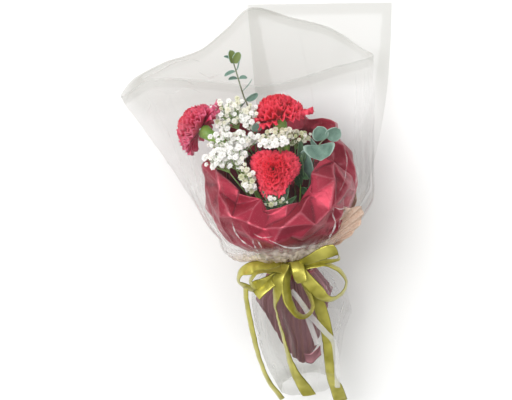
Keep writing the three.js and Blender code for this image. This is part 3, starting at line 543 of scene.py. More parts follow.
# burgundy paper collar
collar = {
    "columns": 24, "fine": (288, 150), "seed": 42,
    "lift": (27, 12),  # of the rim, at the back and at both sides
    # angle, spread, how much wider and higher
    "swells": [(-25, 40, 0.13, 11), (-140, 34, 0.06, 15), (38, 26, -0.05, 16)],
    "tail": [(1, 34, 17), (0.66, 39, 22), (0.33, 42, 26), (0, 40, 27)],  # run, wide, deep
    "tailFlare": -34, "tailEnd": (80, 34),
    # along, radius, share of the rim's lift, fold depth
    "bowl": [(-7, 24.2, 0, 0.7), (4, 24.2, 0, 0.7), (15.5, 24.7, 0, 0.8), (27, 46, 0, 1.6),
             (42, 66, 0, 2.8), (58, 80, 0.4, 5), (69, 81, 0.65, 8), (80, 73, 0.9, 10),
             (87, 62, 1, 8), (76, 57, 0.95, 4), (62, 56, 0.9, 2)],
    "jitter": 0.5, "pleats": 34, "pleatDepth": 1.3,
    # creases: height, first direction, length, warp
    "broad": (2.5, 0, 19, 9), "small": (1.5, 4, 9, 5), "upwards": (1.6, 8, 15, 7),
    # the entry before wall scales the painted highlight on ridges and the painted shade in folds
    "cornerFloor": 4.9, "floor": 4.6, "ridgeHighlightAndShadeHeight": 0.17, "wall": 0.3,
}


def collarLift(angle):
    back, sides = collar["lift"]
    return back * (1 - math.sin(angle)) + sides * math.cos(angle) ** 2


def collarTailEnd(angle):
    middle, more = collar["tailEnd"]
    return -(middle + more * math.cos(2 * (angle - math.pi / 2)))


def makeCollar():
    draw = random.Random(collar["seed"])
    columns = collar["columns"]
    tail = collar["tail"]
    stations = len(tail) + len(collar["bowl"])
    wobble = [[[draw.uniform(-1, 1) for _ in range(3)] + [draw.random() < 0.5]
               for _ in range(columns)] for _ in range(stations)]

    def corner(column, row):  # where the flat facets of the crumpled paper meet
        jitter = wobble[row][column % columns]
        if row < len(tail):
            run, wide, deep = tail[row]
            angle = turn * (column + 0.2 * jitter[0]) / columns
            u = mix(collar["tailFlare"], collarTailEnd(angle), run) + 2 * run * jitter[2]
            return at(wide * math.cos(angle), u, deep * math.sin(angle))
        u, radius, lift, depth = collar["bowl"][row - len(tail)]
        loose = smooth(24, 60, radius)
        angle = turn * (column + loose * collar["jitter"] * jitter[0]) / columns
        u += lift * collarLift(angle)
        calm = 0
        for middle, spread, wider, higher in collar["swells"]:
            gap = (math.degrees(angle) + 180 - middle) % 360 - 180
            swell = lift * math.exp(-(gap / spread) ** 2)
            radius *= 1 + wider * swell
            u += higher * swell
            calm = max(calm, swell)
        radius += depth * loose * jitter[1]
        u += loose * (6 - 3 * calm) * jitter[2]
        point = at(radius * math.cos(angle), u, radius * math.sin(angle))
        point.z = max(point.z, collar["cornerFloor"] * mm)
        return point

    spots = [[corner(column, row) for column in range(columns + 1)] for row in range(stations)]

    def place(s, t):
        across, up = s * columns, t * (stations - 1)
        i, j = min(int(across), columns - 1), min(int(up), stations - 2)
        f, g = across - i, up - j
        a, b, c, d = spots[j][i], spots[j][i + 1], spots[j + 1][i], spots[j + 1][i + 1]
        if wobble[j][i][3]:
            flat = a + f * (b - a) + g * (c - a) if f + g < 1 else (
                d + (1 - f) * (c - d) + (1 - g) * (b - d))
        else:
            flat = b + (1 - f) * (a - b) + g * (d - b) if f > g else (
                c + f * (d - c) + (1 - g) * (a - c))
        away = flat - tie
        u = away.dot(alongWay) / mm
        outward = (away - away.dot(alongWay) * alongWay).normalized()
        pleat = abs((s * collar["pleats"]) % 1 - 0.5) * 4 - 1
        gathered = 1 - smooth(16, 60, u)
        fold = collar["pleatDepth"] * gathered * pleat * (0.4 if -9 < u < 16 else 1)
        loose = smooth(20, 40, u)
        patch = 0.5 + 0.5 * noise.noise(flat * 22)
        broad, small, upwards = (
            height * creases(flat, *rest)
            for height, *rest in (collar["broad"], collar["small"], collar["upwards"]))
        fold += loose * (broad + patch * small)
        point = flat + outward * fold * mm + alongWay * loose * upwards * mm
        point.z = max(point.z, collar["floor"] * mm)
        return point, 1 - smooth(-16, -4, u)

    bm = gridMesh(*collar["fine"], place, ring=True, marks=("dull",))
    bmesh.ops.smooth_vert(bm, verts=bm.verts, factor=0.35, use_axis_x=True, use_axis_y=True,
                          use_axis_z=True)
    bmesh.ops.recalc_face_normals(bm, faces=bm.faces)
    bm.normal_update()
    ridgeWearHighlightAndFoldShade = bm.verts.layers.float.new("fold")
    dull = bm.verts.layers.float["dull"]
    for vertex in bm.verts:  # paler along the ridges, partly rubbed coating and partly a painted highlight, and darker in the folds, a painted shade
        around = [edge.other_vert(vertex).co for edge in vertex.link_edges]
        middle = sum(around, Vector()) / len(around)
        sharp = (vertex.co - middle).dot(vertex.normal) / (collar["ridgeHighlightAndShadeHeight"] * mm)
        vertex[ridgeWearHighlightAndFoldShade] = max(-1, min(1, sharp)) * (1 - 0.65 * vertex[dull])
    piece = makePiece("collarPaper", bm, paperSkin, ["collar_paper"],
                      collar["wall"])
    print("collar made")


makeCollar()

# clear film
film = {
    "columns": 320, "rows": 150, "stripe": 10.5, "stripeBlur": 0.8, "toRim": 0.62,
    # along, half width, height above and below the axis
    "stations": [(-152, 29, 19, 42), (-100, 45, 29, 40), (-34, 47, 34, 37),
                 (-7, 29.8, 29.8, 29.8), (13.5, 29.8, 29.8, 29.8), (19.5, 46, 46, 46),
                 (27, 58, 60, 58), (39, 71, 75, 73), (53, 84, 88, 86), (66, 92, 95, 92)],
    # angle, then the rim's point: the front stands up, and the back lies down
    "rim": [(0, 122, 213, 62), (24, 109, 214, 122), (48, 74, 214, 171), (72, 28, 209, 199),
            (92, -10, 209, 206), (114, -50, 218, 192), (136, -92, 224, 160),
            (154, -123, 224, 112), (170, -141, 213, 60), (186, -160, 203, 24),
            (202, -143, 219, 3), (222, -108, 232, 0.4), (233, -85, 236, 0.4),
            (244, -62, 242, 0.4), (256, -33, 260, 0.4), (268, -3, 279, 0.9),
            (290, 40, 262, 0.9), (314, 80, 245, 0.9), (338, 112, 219, 12)],
    "fuller": (0.1, -0.05),  # how much wider the bowl is at its right and left
    "bulge": (24, 15, 14),  # the left of the neck: along, spread, reach
    # height off the surface, over the backing and left of it, and where that changes
    "floor": (1.7, 0.35), "floorStep": (-16, 8),
    "fan": ((23, 0.1, 1.3), (37, 0.6, 1.0), (61, 0.3, 0.8)),  # gathers: count, phase, height
    "skirtPleats": 9, "skirtFolds": (-111, -126),
    # long creases: angle at the neck, drift towards the rim, width, height, whiteness
    "creases": [(8, 4, 2.5, 2.2, 0.5), (35, -6, 3, 1.6, 0.25), (66, 5, 2, 1, 0.12),
                (100, -4, 2, 0.9, 0.1), (128, 6, 2.5, 1.4, 0.25), (146, -3, 2, 2, 0.4),
                (157, 6, 2, 2, 0.45), (170, -4, 2.5, 2.4, 0.5), (184, 3, 3, 1.5, 0.4),
                (214, -8, 3, 1.2, 0.2), (262, 6, 3, 1, 0.2), (300, -6, 3, 1.4, 0.3),
                (334, 5, 2.5, 1.8, 0.35), (350, -3, 2, 2, 0.4)],
    # narrow folds where they are seen (px, py), then width and whiteness; the white is a painted
    # highlight along the fold
    "ridges": [
        ([(233, 221), (236, 231), (243, 240), (254, 247)], 2.6, 0.9),
        ([(253, 232), (262, 236), (272, 234.5)], 1.5, 0.8),
        ([(268, 238), (278, 243), (290, 246), (304, 245)], 2.2, 0.8),
        ([(253, 238), (255, 245), (261, 252)], 2.8, 0.95), ([(258, 239), (262, 247)], 1.8, 0.9),
        ([(331, 207), (330, 214), (333, 222), (330, 231), (326, 239), (322, 247)], 3, 0.7),
        ([(331, 207), (338, 209), (345, 206)], 2, 0.7),
        ([(345, 207), (340, 214), (337, 222), (336, 229)], 2, 0.6),
        ([(352, 150), (355, 170), (352, 190), (347, 205)], 2.4, 0.45),
        ([(340, 146), (344, 160), (342, 180), (335, 196)], 1.8, 0.35),
        ([(205, 158), (203, 180), (206, 200), (213, 218), (226, 233)], 2.4, 0.5),
        ([(195, 150), (196, 170), (200, 190), (208, 212), (221, 235), (236, 253)], 2, 0.35),
        ([(168, 127), (176, 150), (185, 170), (196, 192), (208, 212)], 1.8, 0.3),
        ([(180, 120), (186, 145), (193, 165), (199, 185)], 1.5, 0.25),
        ([(211, 221), (221, 235), (238, 250)], 3.4, 0.8),
        ([(146, 82), (160, 84), (176, 77), (194, 84), (212, 87)], 2.4, 0.35),
        ([(158, 92), (174, 97), (190, 92), (204, 98)], 1.8, 0.3),
        ([(136, 78), (152, 72), (168, 63), (184, 58), (200, 60)], 2.4, 0.3),
        ([(198, 70), (210, 76), (222, 71)], 1.8, 0.25),
        ([(145, 98), (150, 106), (148, 114)], 1.6, 0.3),
        ([(352, 76), (353, 100), (352, 140)], 1.5, 0.3),
        ([(361, 72), (362, 100), (358, 145)], 1.5, 0.25),
        ([(251, 294), (253, 310), (257, 328), (263, 346)], 3, 0.8),
        ([(256, 300), (260, 322), (267, 342)], 1.6, 0.35),
        ([(266, 367), (276, 369), (290, 368)], 1.6, 0.45),
        ([(272, 380), (281, 382), (292, 380)], 1.6, 0.45),
        ([(334, 334), (344, 324), (352, 315)], 2, 0.8),
        ([(334, 332), (340, 317), (344, 300)], 1.8, 0.7),
        ([(326, 266), (329, 280), (334, 296)], 1.8, 0.7),
        ([(322, 270), (325, 284), (331, 298)], 1.8, 0.6),
        ([(329, 276), (335, 282), (334, 291), (329, 286)], 1.5, 0.7)],
    "castFrom": 260, "wallGap": 55,  # how the folds are laid on the nearer wall of the film
    "corner": (-66, 13, 17, 0.42),  # the skirt's side corner: along, reach, spread, angle
    # how grey the film looks: all of it, and its border at the front and over the backing
    "grey": 0.57, "frontBorder": 0.64, "backBorder": (0.22, 0.36),
    # the back wall, left and right: under the front, and bare between these heights; the skirt
    "covered": (0.34, 0.05), "bare": (0.55, 0.46), "bareFrom": (176, 196), "skirtGrey": 0.4,
}
farOff = 99  # further from an edge than the border is wide
axisFoot = tie - 72 * mm * Vector((0, 0, 1))  # below the tie, on the surface


def inStripe(distance):  # 1 in the frosted border along an edge, and 0 inside it
    return smooth(film["stripe"] + film["stripeBlur"], film["stripe"] - film["stripeBlur"],
                  distance)


def rimPoint(angle):
    rim = film["rim"]
    degrees = math.degrees(angle) % 360
    k = max(i for i, entry in enumerate(rim) if entry[0] <= degrees)
    start = rim[k][0]
    end = rim[k + 1][0] if k + 1 < len(rim) else 360
    f = (degrees - start) / (end - start)
    around = (Vector(rim[(k + i) % len(rim)][1:]) for i in (-1, 0, 1, 2))
    return axisFoot + mm * curveStep(*around, f)


def filmShape(angle, t):  # t runs along the stations, and then to the rim
    stations = film["stations"]
    share = min(1, t / film["toRim"])
    u, wide, high, low = (smoothPath(values, share) for values in zip(*stations))
    upper = math.sin(angle) > 0
    lean = smooth(18, 50, u) * film["fuller"][0 if math.cos(angle) > 0 else 1]
    base = at(wide * (1 + lean) * math.cos(angle), u,
              (high if upper else low) * math.sin(angle))
    where, reach, spread, wedge = film["corner"]
    side = (angle + 0.1) if angle < math.pi else (angle + 0.1 - turn)
    base.x += reach * mm * math.exp(-((u - where) / spread) ** 2 - (side / wedge) ** 2)
    where, spread, reach = film["bulge"]
    base.x -= reach * mm * math.exp(-((u - where) / spread) ** 2) * smooth(
        0.2, 0.9, -math.cos(angle))
    if share == 1:
        base = base.lerp(rimPoint(angle), (t - film["toRim"]) / (1 - film["toRim"]))
    return base, u


def filmFolds(angle, u, d, t):  # how far the film stands off its plain form, and how white it is
    free = max(0, (t - film["toRim"]) / (1 - film["toRim"]))
    gather = smooth(-22, 6, u) * (1 - smooth(17, 48, u))
    shown = u * math.sin(sight) - d * math.cos(sight)  # the crushed film above the tie
    crushed = smooth(6, 14, u) * (1 - smooth(9, 24, shown)) * (1 - smooth(45, 60, u))
    fan = sum(abs((k * angle / turn + p) % 1 - 0.5) * a for k, p, a in film["fan"]) - 0.77
    point = Vector((3.2 * math.cos(angle), 3.2 * math.sin(angle), u * 0.03 + 4 * free))
    rough = noise.noise(point * 1.6) + 0.5 * noise.noise(point * 4)
    away = 2.0 * gather * fan + (0.7 + 1.3 * free) * rough
    crinkle = noise.noise(Vector((14 * math.cos(angle), 14 * math.sin(angle), 0.24 * u)))
    away += 2.4 * crushed * crinkle
    streak = noise.noise(Vector((9 * math.cos(angle), 9 * math.sin(angle), 0.02 * u)) * 3)
    milk = crushed * (0.85 + 0.6 * streak + 0.6 * crinkle) + 0.25 * gather * abs(fan)
    side = smooth(0.55, 0.95, -math.cos(angle))  # the crumpled left wall
    milk += 0.012 + 0.02 * noise.noise(point * 0.9) + side * max(
        0, 0.05 + 0.16 * noise.noise(point * 1.4))
    for middle, drift, width, height, white in film["creases"]:
        centre = middle + drift * free + 1.2 * math.sin(6 * free + middle)
        gap = abs((math.degrees(angle) - centre + 180) % 360 - 180) / width
        if gap < 1 and u > 20:
            strength = smooth(20, 34, u) * (1 - 0.75 * free)
            away += height * (1 - gap) * strength
            milk += 0.4 * white * max(0, 1 - 3 * gap) * strength
    if -9 < u < 14:
        away *= 0.3
    if u < -20:
        pleat = abs((film["skirtPleats"] * angle / turn + 0.35 + 0.1 * math.sin(u / 20)) % 1 - 0.5)
        away += 3.2 * (pleat - 0.25) * smooth(-20, -60, u)
        milk += 0.2 * max(0, 1 - 14 * abs(pleat - 0.48)) * smooth(-20, -60, u)
        front = smooth(0.25, 0.6, math.sin(angle))
        for ring in film["skirtFolds"]:  # old folds across the skirt
            milk += 0.35 * front * max(0, 1 - abs(u - ring - 3 * math.cos(angle)) / 1.6)
    return away * mm, milk, crushed


def spot(px, py, d):  # the point at depth d that the picture shows at px, py
    tieX, tieY = view["tiePixel"]
    a, b = (px - tieX) * view["pixel"], (tieY - py) * view["pixel"]
    roll = math.radians(view["roll"])
    return seen(a * math.cos(roll) + b * math.sin(roll),
                b * math.cos(roll) - a * math.sin(roll), d)


# the fold's whiteness is a painted highlight
def ridgeMesh(points, width, milk):  # a narrow fold of film that stands on the sheet
    def place(s, t):
        tangent = smoothPath(points, min(1, t + 0.02)) - smoothPath(points, max(0, t - 0.02))
        side = tangent.cross(sightWay).normalized()
        middle = smoothPath(points, t)
        uneven = noise.noise(middle * 130)
        wide = 0.7 * width * mm * max(0.1, math.sin(math.pi * t) ** 0.7) * (1 + 0.9 * uneven)
        across = 2 * s - 1
        middle = middle + side * 1.3 * mm * noise.noise(middle * 70)
        middle.z = max(middle.z, 0.5 * mm)
        return (middle + side * across * wide * 0.5
                + sightWay * wide * 0.45 * (1 - abs(across)), 0.0,
                max(0.02, milk * (0.62 + 0.9 * noise.noise(middle * 210))), 0.0)

    return gridMesh(4, 8 * (len(points) - 1), place, marks=("border", "milk", "crushed"))


def makeFilm():
    def place(s, t):
        angle = turn * s
        base, u = filmShape(angle, t)
        beside, _ = filmShape((angle + 0.01) % turn, t)
        above, _ = filmShape(angle, t + 0.01 if t < 0.99 else t - 0.01)
        outward = (beside - base).cross(above - base).normalized() * (1 if t < 0.99 else -1)
        away, milk, crushed = filmFolds(angle, u, (base - tie).dot(offWay) / mm, t)
        point = base + outward * away
        step, run = film["floorStep"]
        left = min(1, max(0, (step * mm - (point.x - tie.x)) / (run * mm)))
        point.z = max(point.z, mix(*film["floor"], left) * mm)
        toRim = (rimPoint(angle) - base).length / mm if u > 40 else farOff
        toEnd = 0.96 * (u - film["stations"][0][0])
        border = inStripe(min(toRim, toEnd))
        degrees = math.degrees(angle)
        right = smooth(262, 282, degrees)
        if 206 < degrees < 345 and u > 40:
            border *= mix(*film["backBorder"], right)  # fainter where the backing lies under it
        elif u > 40:
            border *= film["frontBorder"]
        # the back wall is greyer where the front does not cover it
        shown = ((base - tie).dot(alongWay) * math.sin(sight)
                 - (base - tie).dot(offWay) * math.cos(sight)) / mm
        bare = smooth(*film["bareFrom"], shown)
        under = mix(mix(*film["covered"], right), mix(*film["bare"], right), bare)
        under *= smooth(176, 200, degrees) * (1 - smooth(350, 366, degrees)) * smooth(20, 45, u)
        under += film["skirtGrey"] * smooth(-20, -50, u) * smooth(0, -0.6, math.cos(angle))
        edge = smooth(2.2, 0.4, toRim)  # the cut edge shows as a fine line
        grey = film["grey"] * max(border, edge) + under
        return point, grey, milk + 0.25 * edge, crushed

    bm = gridMesh(film["columns"], film["rows"], place, ring=True,
                  marks=("border", "milk", "crushed"))
    bmesh.ops.recalc_face_normals(bm, faces=bm.faces)
    tree = BVHTree.FromBMesh(bm)
    # each narrow fold is whitened as a painted highlight
    for line, width, milk in film["ridges"]:
        hits = [tree.ray_cast(spot(px, py, film["castFrom"]), -sightWay)[0] for px, py in line]
        points = [hit for hit in hits if hit]
        wall = points[len(points) // 2].z  # a fold stays on one wall of the film
        points = [point for point in points if abs(point.z - wall) < film["wallGap"] * mm]
        if len(points) > 1:
            addPart(bm, ridgeMesh(points, width, milk))
    piece = makePiece("filmWrap", bm, filmSkin, ["film_wrap"])
    print("film wrap made")


backing = {
    "columns": 80, "rows": 110, "first": 260, "last": 350, "toTop": 0.5,
    "topLeft": (-7, 283, 0.5), "topRight": (153, 263, 0.5), "wide": 157, "long": 330,
    "tail": [(-76, 62, 46), (-34, 56, 44)],  # along, half width, depth
    "past": (4.2, 1.5),  # how far it stands outside the film, in the bowl and at the neck
    "floor": 0.5,
}


def makeBacking():
    stations = list(backing["tail"])
    for u, wide, _, low in film["stations"][3:]:
        past = backing["past"][0 if u > 18 else 1]
        stations.append((u - (1.5 if u > 0 else 0), wide + past, low + past))
    top = [axisFoot + mm * Vector(backing[key]) for key in ("topLeft", "topRight")]

    def place(s, t):
        angle = math.radians(mix(backing["first"], backing["last"], s))
        share = min(1, t / backing["toTop"])
        u, wide, low = (smoothPath(values, share) for values in zip(*stations))
        point = at(wide * math.cos(angle), u, low * math.sin(angle))
        point.z = max(point.z, backing["floor"] * mm)
        free = max(0, (t - backing["toTop"]) / (1 - backing["toTop"]))
        if free > 0:
            target = top[0].lerp(top[1], s)
            point = Vector((
                mix(point.x, target.x, free) + 9 * mm * math.sin(math.pi * free) * s,
                mix(point.y, target.y, free),
                mix(point.z, target.z, min(1, free * 1.5))))
            lift = noise.noise(Vector((s * 4, free * 5, 3)))
            point.z += 1.4 * mm * max(0, lift) * smooth(0, 0.3, free)
        point.z = max(point.z, backing["floor"] * mm)
        wide = backing["wide"] * max(0.2, free)
        edge = min(min(s, 1 - s) * wide if t > backing["toTop"] else farOff,
                   (1 - t) * backing["long"])
        border = inStripe(edge)
        x, y = (point.x - axisFoot.x) / mm, (point.y - axisFoot.y) / mm
        rimY = 279 - 0.4 * (x + 3) if x < 80 else 245 - 0.8 * (x - 80)
        single = max(smooth(-4, 4, y - rimY), smooth(118, 126, x))  # no film over it there
        grey = film["grey"] * max(0.1 + 0.5 * single, border * mix(0.55, 1, single))
        return point, grey, 0.03 + 0.04 * single * noise.noise(Vector((s * 3, t * 4, 7)))

    bm = gridMesh(backing["columns"], backing["rows"], place, marks=("border", "milk"))
    bmesh.ops.recalc_face_normals(bm, faces=bm.faces)
    piece = makePiece("filmBacking", bm, filmSkin, ["film_backing"])
    print("film backing made")


makeFilm()
makeBacking()

# pink paper
pink = {
    "columns": 70, "rows": 26, "first": 200, "last": 398,
    "stations": [(-7, 27), (14.5, 27), (21, 38.5), (27, 52.6), (39, 67.8), (53, 79.8), (64, 86.5)],
    "pleats": 26, "pleatDepth": 0.8, "floor": 3.1, "wall": 0.25,
    # the pleated fan, as it is seen: outer edge, foot at the neck, pleats, depths
    "fanEdge": [Vector(p) for p in ((338, 203), (347, 208), (358, 206), (361, 213), (358, 224),
                                    (349, 235), (338, 243), (328, 248))],
    "fanFoot": [Vector((317, 244)), Vector((319, 249))], "fanDepth": (30, 42),
    "fanPleats": 7, "fanPleatDepth": 3.4,
}


def makePinkPaper():
    def place(s, t):
        angle = math.radians(mix(pink["first"], pink["last"], s))
        t *= 1 - 0.5 * smooth(5.7, 6.5, angle)  # cut lower beside the fan
        u, radius = (smoothPath(values, t) for values in zip(*pink["stations"]))
        zigzag = abs((s * pink["pleats"]) % 1 - 0.5) * 4 - 1
        reach = radius * (1 + 0.07 * smooth(20, 50, u) * smooth(0, 0.8, math.cos(angle)))
        reach += pink["pleatDepth"] * zigzag * smooth(12, 40, u)
        point = at(reach * math.cos(angle), u, reach * math.sin(angle))
        point.z = max(point.z, pink["floor"] * mm)
        return point

    def fanPlace(s, t):  # the pleated end that opens out beside the collar
        outer = smoothPath(pink["fanEdge"], s)
        foot = smoothPath(pink["fanFoot"], s)
        zigzag = abs((s * pink["fanPleats"]) % 1 - 0.5) * 4 - 1
        depth = mix(*pink["fanDepth"], t) + pink["fanPleatDepth"] * zigzag * t
        return spot(mix(foot.x, outer.x, t) + 0.9 * zigzag * t, mix(foot.y, outer.y, t), depth)

    bm = gridMesh(pink["columns"] * 2, pink["rows"], place)
    addPart(bm, gridMesh(60, 16, fanPlace))
    piece = makePiece("pinkPaper", bm, pinkSkin, ["pink_paper"], pink["wall"])
    print("pink paper made")


makePinkPaper()

# satin ribbon
ribbon = {
    "width": 15, "narrow": 12, "wall": 0.4, "bandRadius": 32.8, "band": (-1, 13),
    # each strip: stations of the two edges as they are seen (px, py, px, py), the depth of the
    # middle, and which edge is nearer; an edge-on stretch takes the rest of its width in depth
    "strips": {
        "outerLeftLoop": [(287, 262, 287, 271, 40, 1), (268, 260, 268, 270.5, 44, 1),
                          (251, 262, 252, 272, 47, 1), (239.5, 270, 242.5, 274, 47, 1),
                          (237.6, 281, 240.2, 280, 45, 1), (245, 288.5, 246, 281.5, 43, 1),
                          (258, 291, 258, 283, 41, 1), (284, 276, 283, 268, 39, 1)],
        "innerLeftLoop": [(286, 263, 286, 272, 46, 1), (271, 267.6, 272, 270.5, 53, 1),
                          (257, 270, 258, 272.6, 57, 1), (249, 279.5, 251.5, 280.2, 57, 1),
                          (256, 289.5, 258, 277.5, 52, 1), (270, 287, 268, 273.5, 48, 1),
                          (284, 276, 281, 268, 44, 1)],
        "shortEnd": [(284, 267, 288, 273, 44, 1), (271, 274, 276.5, 282, 50, 1),
                     (260.5, 283, 266.5, 290.5, 52, 1), (253.6, 291, 259, 297.5, 52, 1)],
        "twistedTail": [(281, 263, 289, 264, 46, 1), (272.5, 277, 283.5, 277.5, 56, 1),
                        (273, 290, 281, 291.5, 56, 1), (274.3, 305, 276, 305, 51, 1),
                        (277, 318, 278.6, 318, 47, 1), (280.6, 333, 283.6, 332, 44, 1),
                        (284.6, 350, 288.4, 348, 41, 1), (290, 372, 297.6, 369, 33, 1),
                        (297, 387.5, 308.5, 384, 26, 1), (302, 398, 318, 396, 21, 1)],
        "frontDroop": [(286, 264, 294, 264, 44, -1), (281.6, 279, 290, 279, 55, -1),
                       (281.5, 292, 290.8, 290, 60, -1), (285, 303.5, 292.5, 299.5, 61, -1),
                       (294.5, 314.5, 297, 309.5, 60, -1), (306, 316.2, 305.5, 313.6, 58, -1),
                       (313.5, 306, 311, 305, 53, -1), (309, 288, 304, 289, 48, -1),
                       (302, 272, 296, 274, 42, -1)],
        "rightUpLoop": [(297, 269, 297, 259.5, 44, 1), (311, 263, 308, 252.5, 58, 1),
                        (326.5, 257, 322.8, 244.6, 66, 1), (336.6, 254.5, 332.6, 244.6, 68, 1),
                        (337.6, 259.4, 336.2, 256.6, 63, 1), (326, 262.6, 325, 258, 57, 1),
                        (312, 266.5, 311, 259, 51, 1), (297, 273, 296, 264, 44, 1)],
        "rightLoop": [(297, 270, 297, 261, 42, -1), (314, 266, 314, 259.8, 46, -1),
                      (327, 265.8, 328.4, 262, 48, -1), (337.6, 271.6, 340.6, 268.6, 49, -1),
                      (343.4, 281, 346.6, 280.4, 50, -1), (340.6, 290, 343.6, 292.6, 51, -1),
                      (333.6, 294.6, 334.6, 298.6, 52, -1), (327, 292.6, 324.6, 300.6, 53, -1),
                      (320, 283.6, 312, 294.6, 54, -1), (310, 272, 301.6, 284.6, 52, -1),
                      (301, 263, 296, 274, 46, -1)],
        "rightTail": [(296, 276, 304, 268, 41, 1), (307, 294, 317, 290, 43, 1),
                      (313.6, 308, 325.4, 304, 43, 1), (320, 328, 331, 325.6, 42, 1),
                      (323, 345, 334.6, 344, 39, 1), (324.6, 362, 335, 361.6, 35, 1),
                      (327, 378, 336.6, 377, 28, 1), (331, 391, 343.4, 388, 20, 1),
                      (336, 407, 349, 402.6, 9, 1)],
        "leftTail": [(243, 286.6, 248, 287.4, 45, 1), (245.4, 306, 250, 305.6, 44, 1),
                     (250.4, 332, 255, 331, 42, 1), (257, 358, 261.4, 357, 38, 1),
                     (266, 382, 270.6, 380, 28, 1), (280.6, 403, 285, 400, 14, 1)],
    },
    "knotFold": [(289, 262, 302.6, 259, 47, 1), (291, 271.6, 304.6, 268, 54, 1),
                 (295.6, 281.6, 306, 277.6, 56, 1), (297, 281.6, 306, 278.6, 54.4, 1),
                 (292, 272, 304, 269, 50, 1)],
}


def ribbonStrip(stations, width):
    middles, sides = [], []
    for ax, ay, bx, by, d, nearer in stations:
        flat = spot(bx, by, d) - spot(ax, ay, d)
        rest = math.sqrt(max(0, (width * mm) ** 2 - flat.length_squared))
        middles.append(spot((ax + bx) / 2, (ay + by) / 2, d))
        sides.append(flat + sightWay * rest * nearer)

    def place(s, t):
        middle = smoothPath(middles, t)
        side = smoothPath(sides, t).normalized() * width * mm
        tangent = (smoothPath(middles, min(1, t + 0.01))
                   - smoothPath(middles, max(0, t - 0.01))).normalized()
        normal = tangent.cross(side).normalized()
        across = s - 0.5
        cup = 0.8 * (1 - 4 * across * across) + 0.3 * math.sin(9 * t + 3 * across)
        cup += 0.7 * noise.noise(middle * 90) + 0.35 * noise.noise(middle * 240 + side * 60)
        return middle + side * across + normal * cup * mm

    return gridMesh(8, 14 * (len(stations) - 1), place)


def makeRibbon():
    whole = startMesh()
    for name, stations in ribbon["strips"].items():
        addPart(whole, ribbonStrip(stations, ribbon["narrow" if name == "leftTail" else "width"]))
    addPart(whole, ribbonStrip(ribbon["knotFold"], ribbon["width"]))
    low, high = ribbon["band"]

    def bandPlace(s, t):
        angle = turn * s
        fold = 0.4 * math.sin(4 * turn * t + 2 * math.sin(3 * angle))
        radius = ribbon["bandRadius"] + fold
        return at(radius * math.cos(angle), mix(low, high, t) + 0.8 * math.sin(2 * angle),
                  radius * math.sin(angle))

    addPart(whole, gridMesh(120, 12, bandPlace, ring=True))
    piece = makePiece("ribbonBow", whole, ribbonSkin, ["ribbon"], ribbon["wall"])
    print("ribbon made")


cuff = {  # the film's frosted lower border, folded up over the skirt
    "width": 6, "milk": 0.7,
    "strips": [[(288, 291, 292.6, 287.6, 46, 1), (295.6, 299, 299.6, 295.6, 46, 1),
                (306, 314, 310.6, 310.6, 46, 1), (314, 323.4, 318.4, 320, 46, 1),
                (323, 333.4, 327.4, 330, 46, 1), (330.6, 342, 335.2, 339, 45, 1),
                (333, 355, 338, 354.4, 43, 1), (334.6, 373, 339.6, 372.6, 40, 1),
                (335.4, 388, 340.4, 388.6, 37, 1)],
               [(303.4, 313.4, 308, 311.4, 44, 1), (308.4, 327.6, 313.4, 325.8, 42, 1),
                (314.6, 345, 319.6, 343.2, 40, 1)]],
}


def makeCuff():
    whole = startMesh()
    for stations in cuff["strips"]:
        addPart(whole, ribbonStrip(stations, cuff["width"]))
    piece = makePiece("filmCuff", whole, filmSkin)
    count = len(piece.data.vertices)
    setPointValues(piece, "border", [1.0] * count)
    setPointValues(piece, "milk", [cuff["milk"]] * count)
    print("cuff made")


tailTip = {  # the paper's lower corner, folded back up
    "width": 11.5, "dull": 0.9,
    "strip": [(304, 353, 306.4, 363.6, 31, 1), (310, 352, 312.6, 366, 32, 1),
              (316, 348.4, 317.4, 360.6, 32, 1), (320.4, 345, 321.6, 355.6, 31, 1)],
}


def makeTailTip():
    bm = ribbonStrip(tailTip["strip"], tailTip["width"])
    piece = makePiece("collarTip", bm, paperSkin, wall=collar["wall"])
    setPointValues(piece, "dull", [tailTip["dull"]] * len(piece.data.vertices))
    print("paper tip made")


makeRibbon()
makeCuff()
makeTailTip()

# carnations
bloom = {
    "petals": 62, "turnEach": 137.5,
    # from the outermost petal to the innermost: tilt off the disc, root, rise, length, span
    "tilt": (-6, 84), "root": (8.5, 0.8), "climb": (-1.5, 8), "length": (23.5, 15.5),
    "span": (44, 84), "teeth": 8, "ruffle": 2.7, "wall": 0.3, "radius": 31,
    # chance: tilt in degrees, share of the length, waves along the edge, curl, depth of a notch
    "lean": 11, "reach": (0.88, 1.05), "waves": (2.2, 3.6), "curl": (-0.05, 0.35), "notch": 0.6,
    "widest": 13, "tooth": 0.95, "strayTilt": 0.12,
    "calyx": [(-36, 2.4), (-33, 3.6), (-30, 4.6), (-22, 5.8), (-12, 6.4), (-5, 8), (-1, 6)],
    "stem": 2.3, "middle": 7, "solid": 0.78,  # the ball round its middle that florets keep out of
}
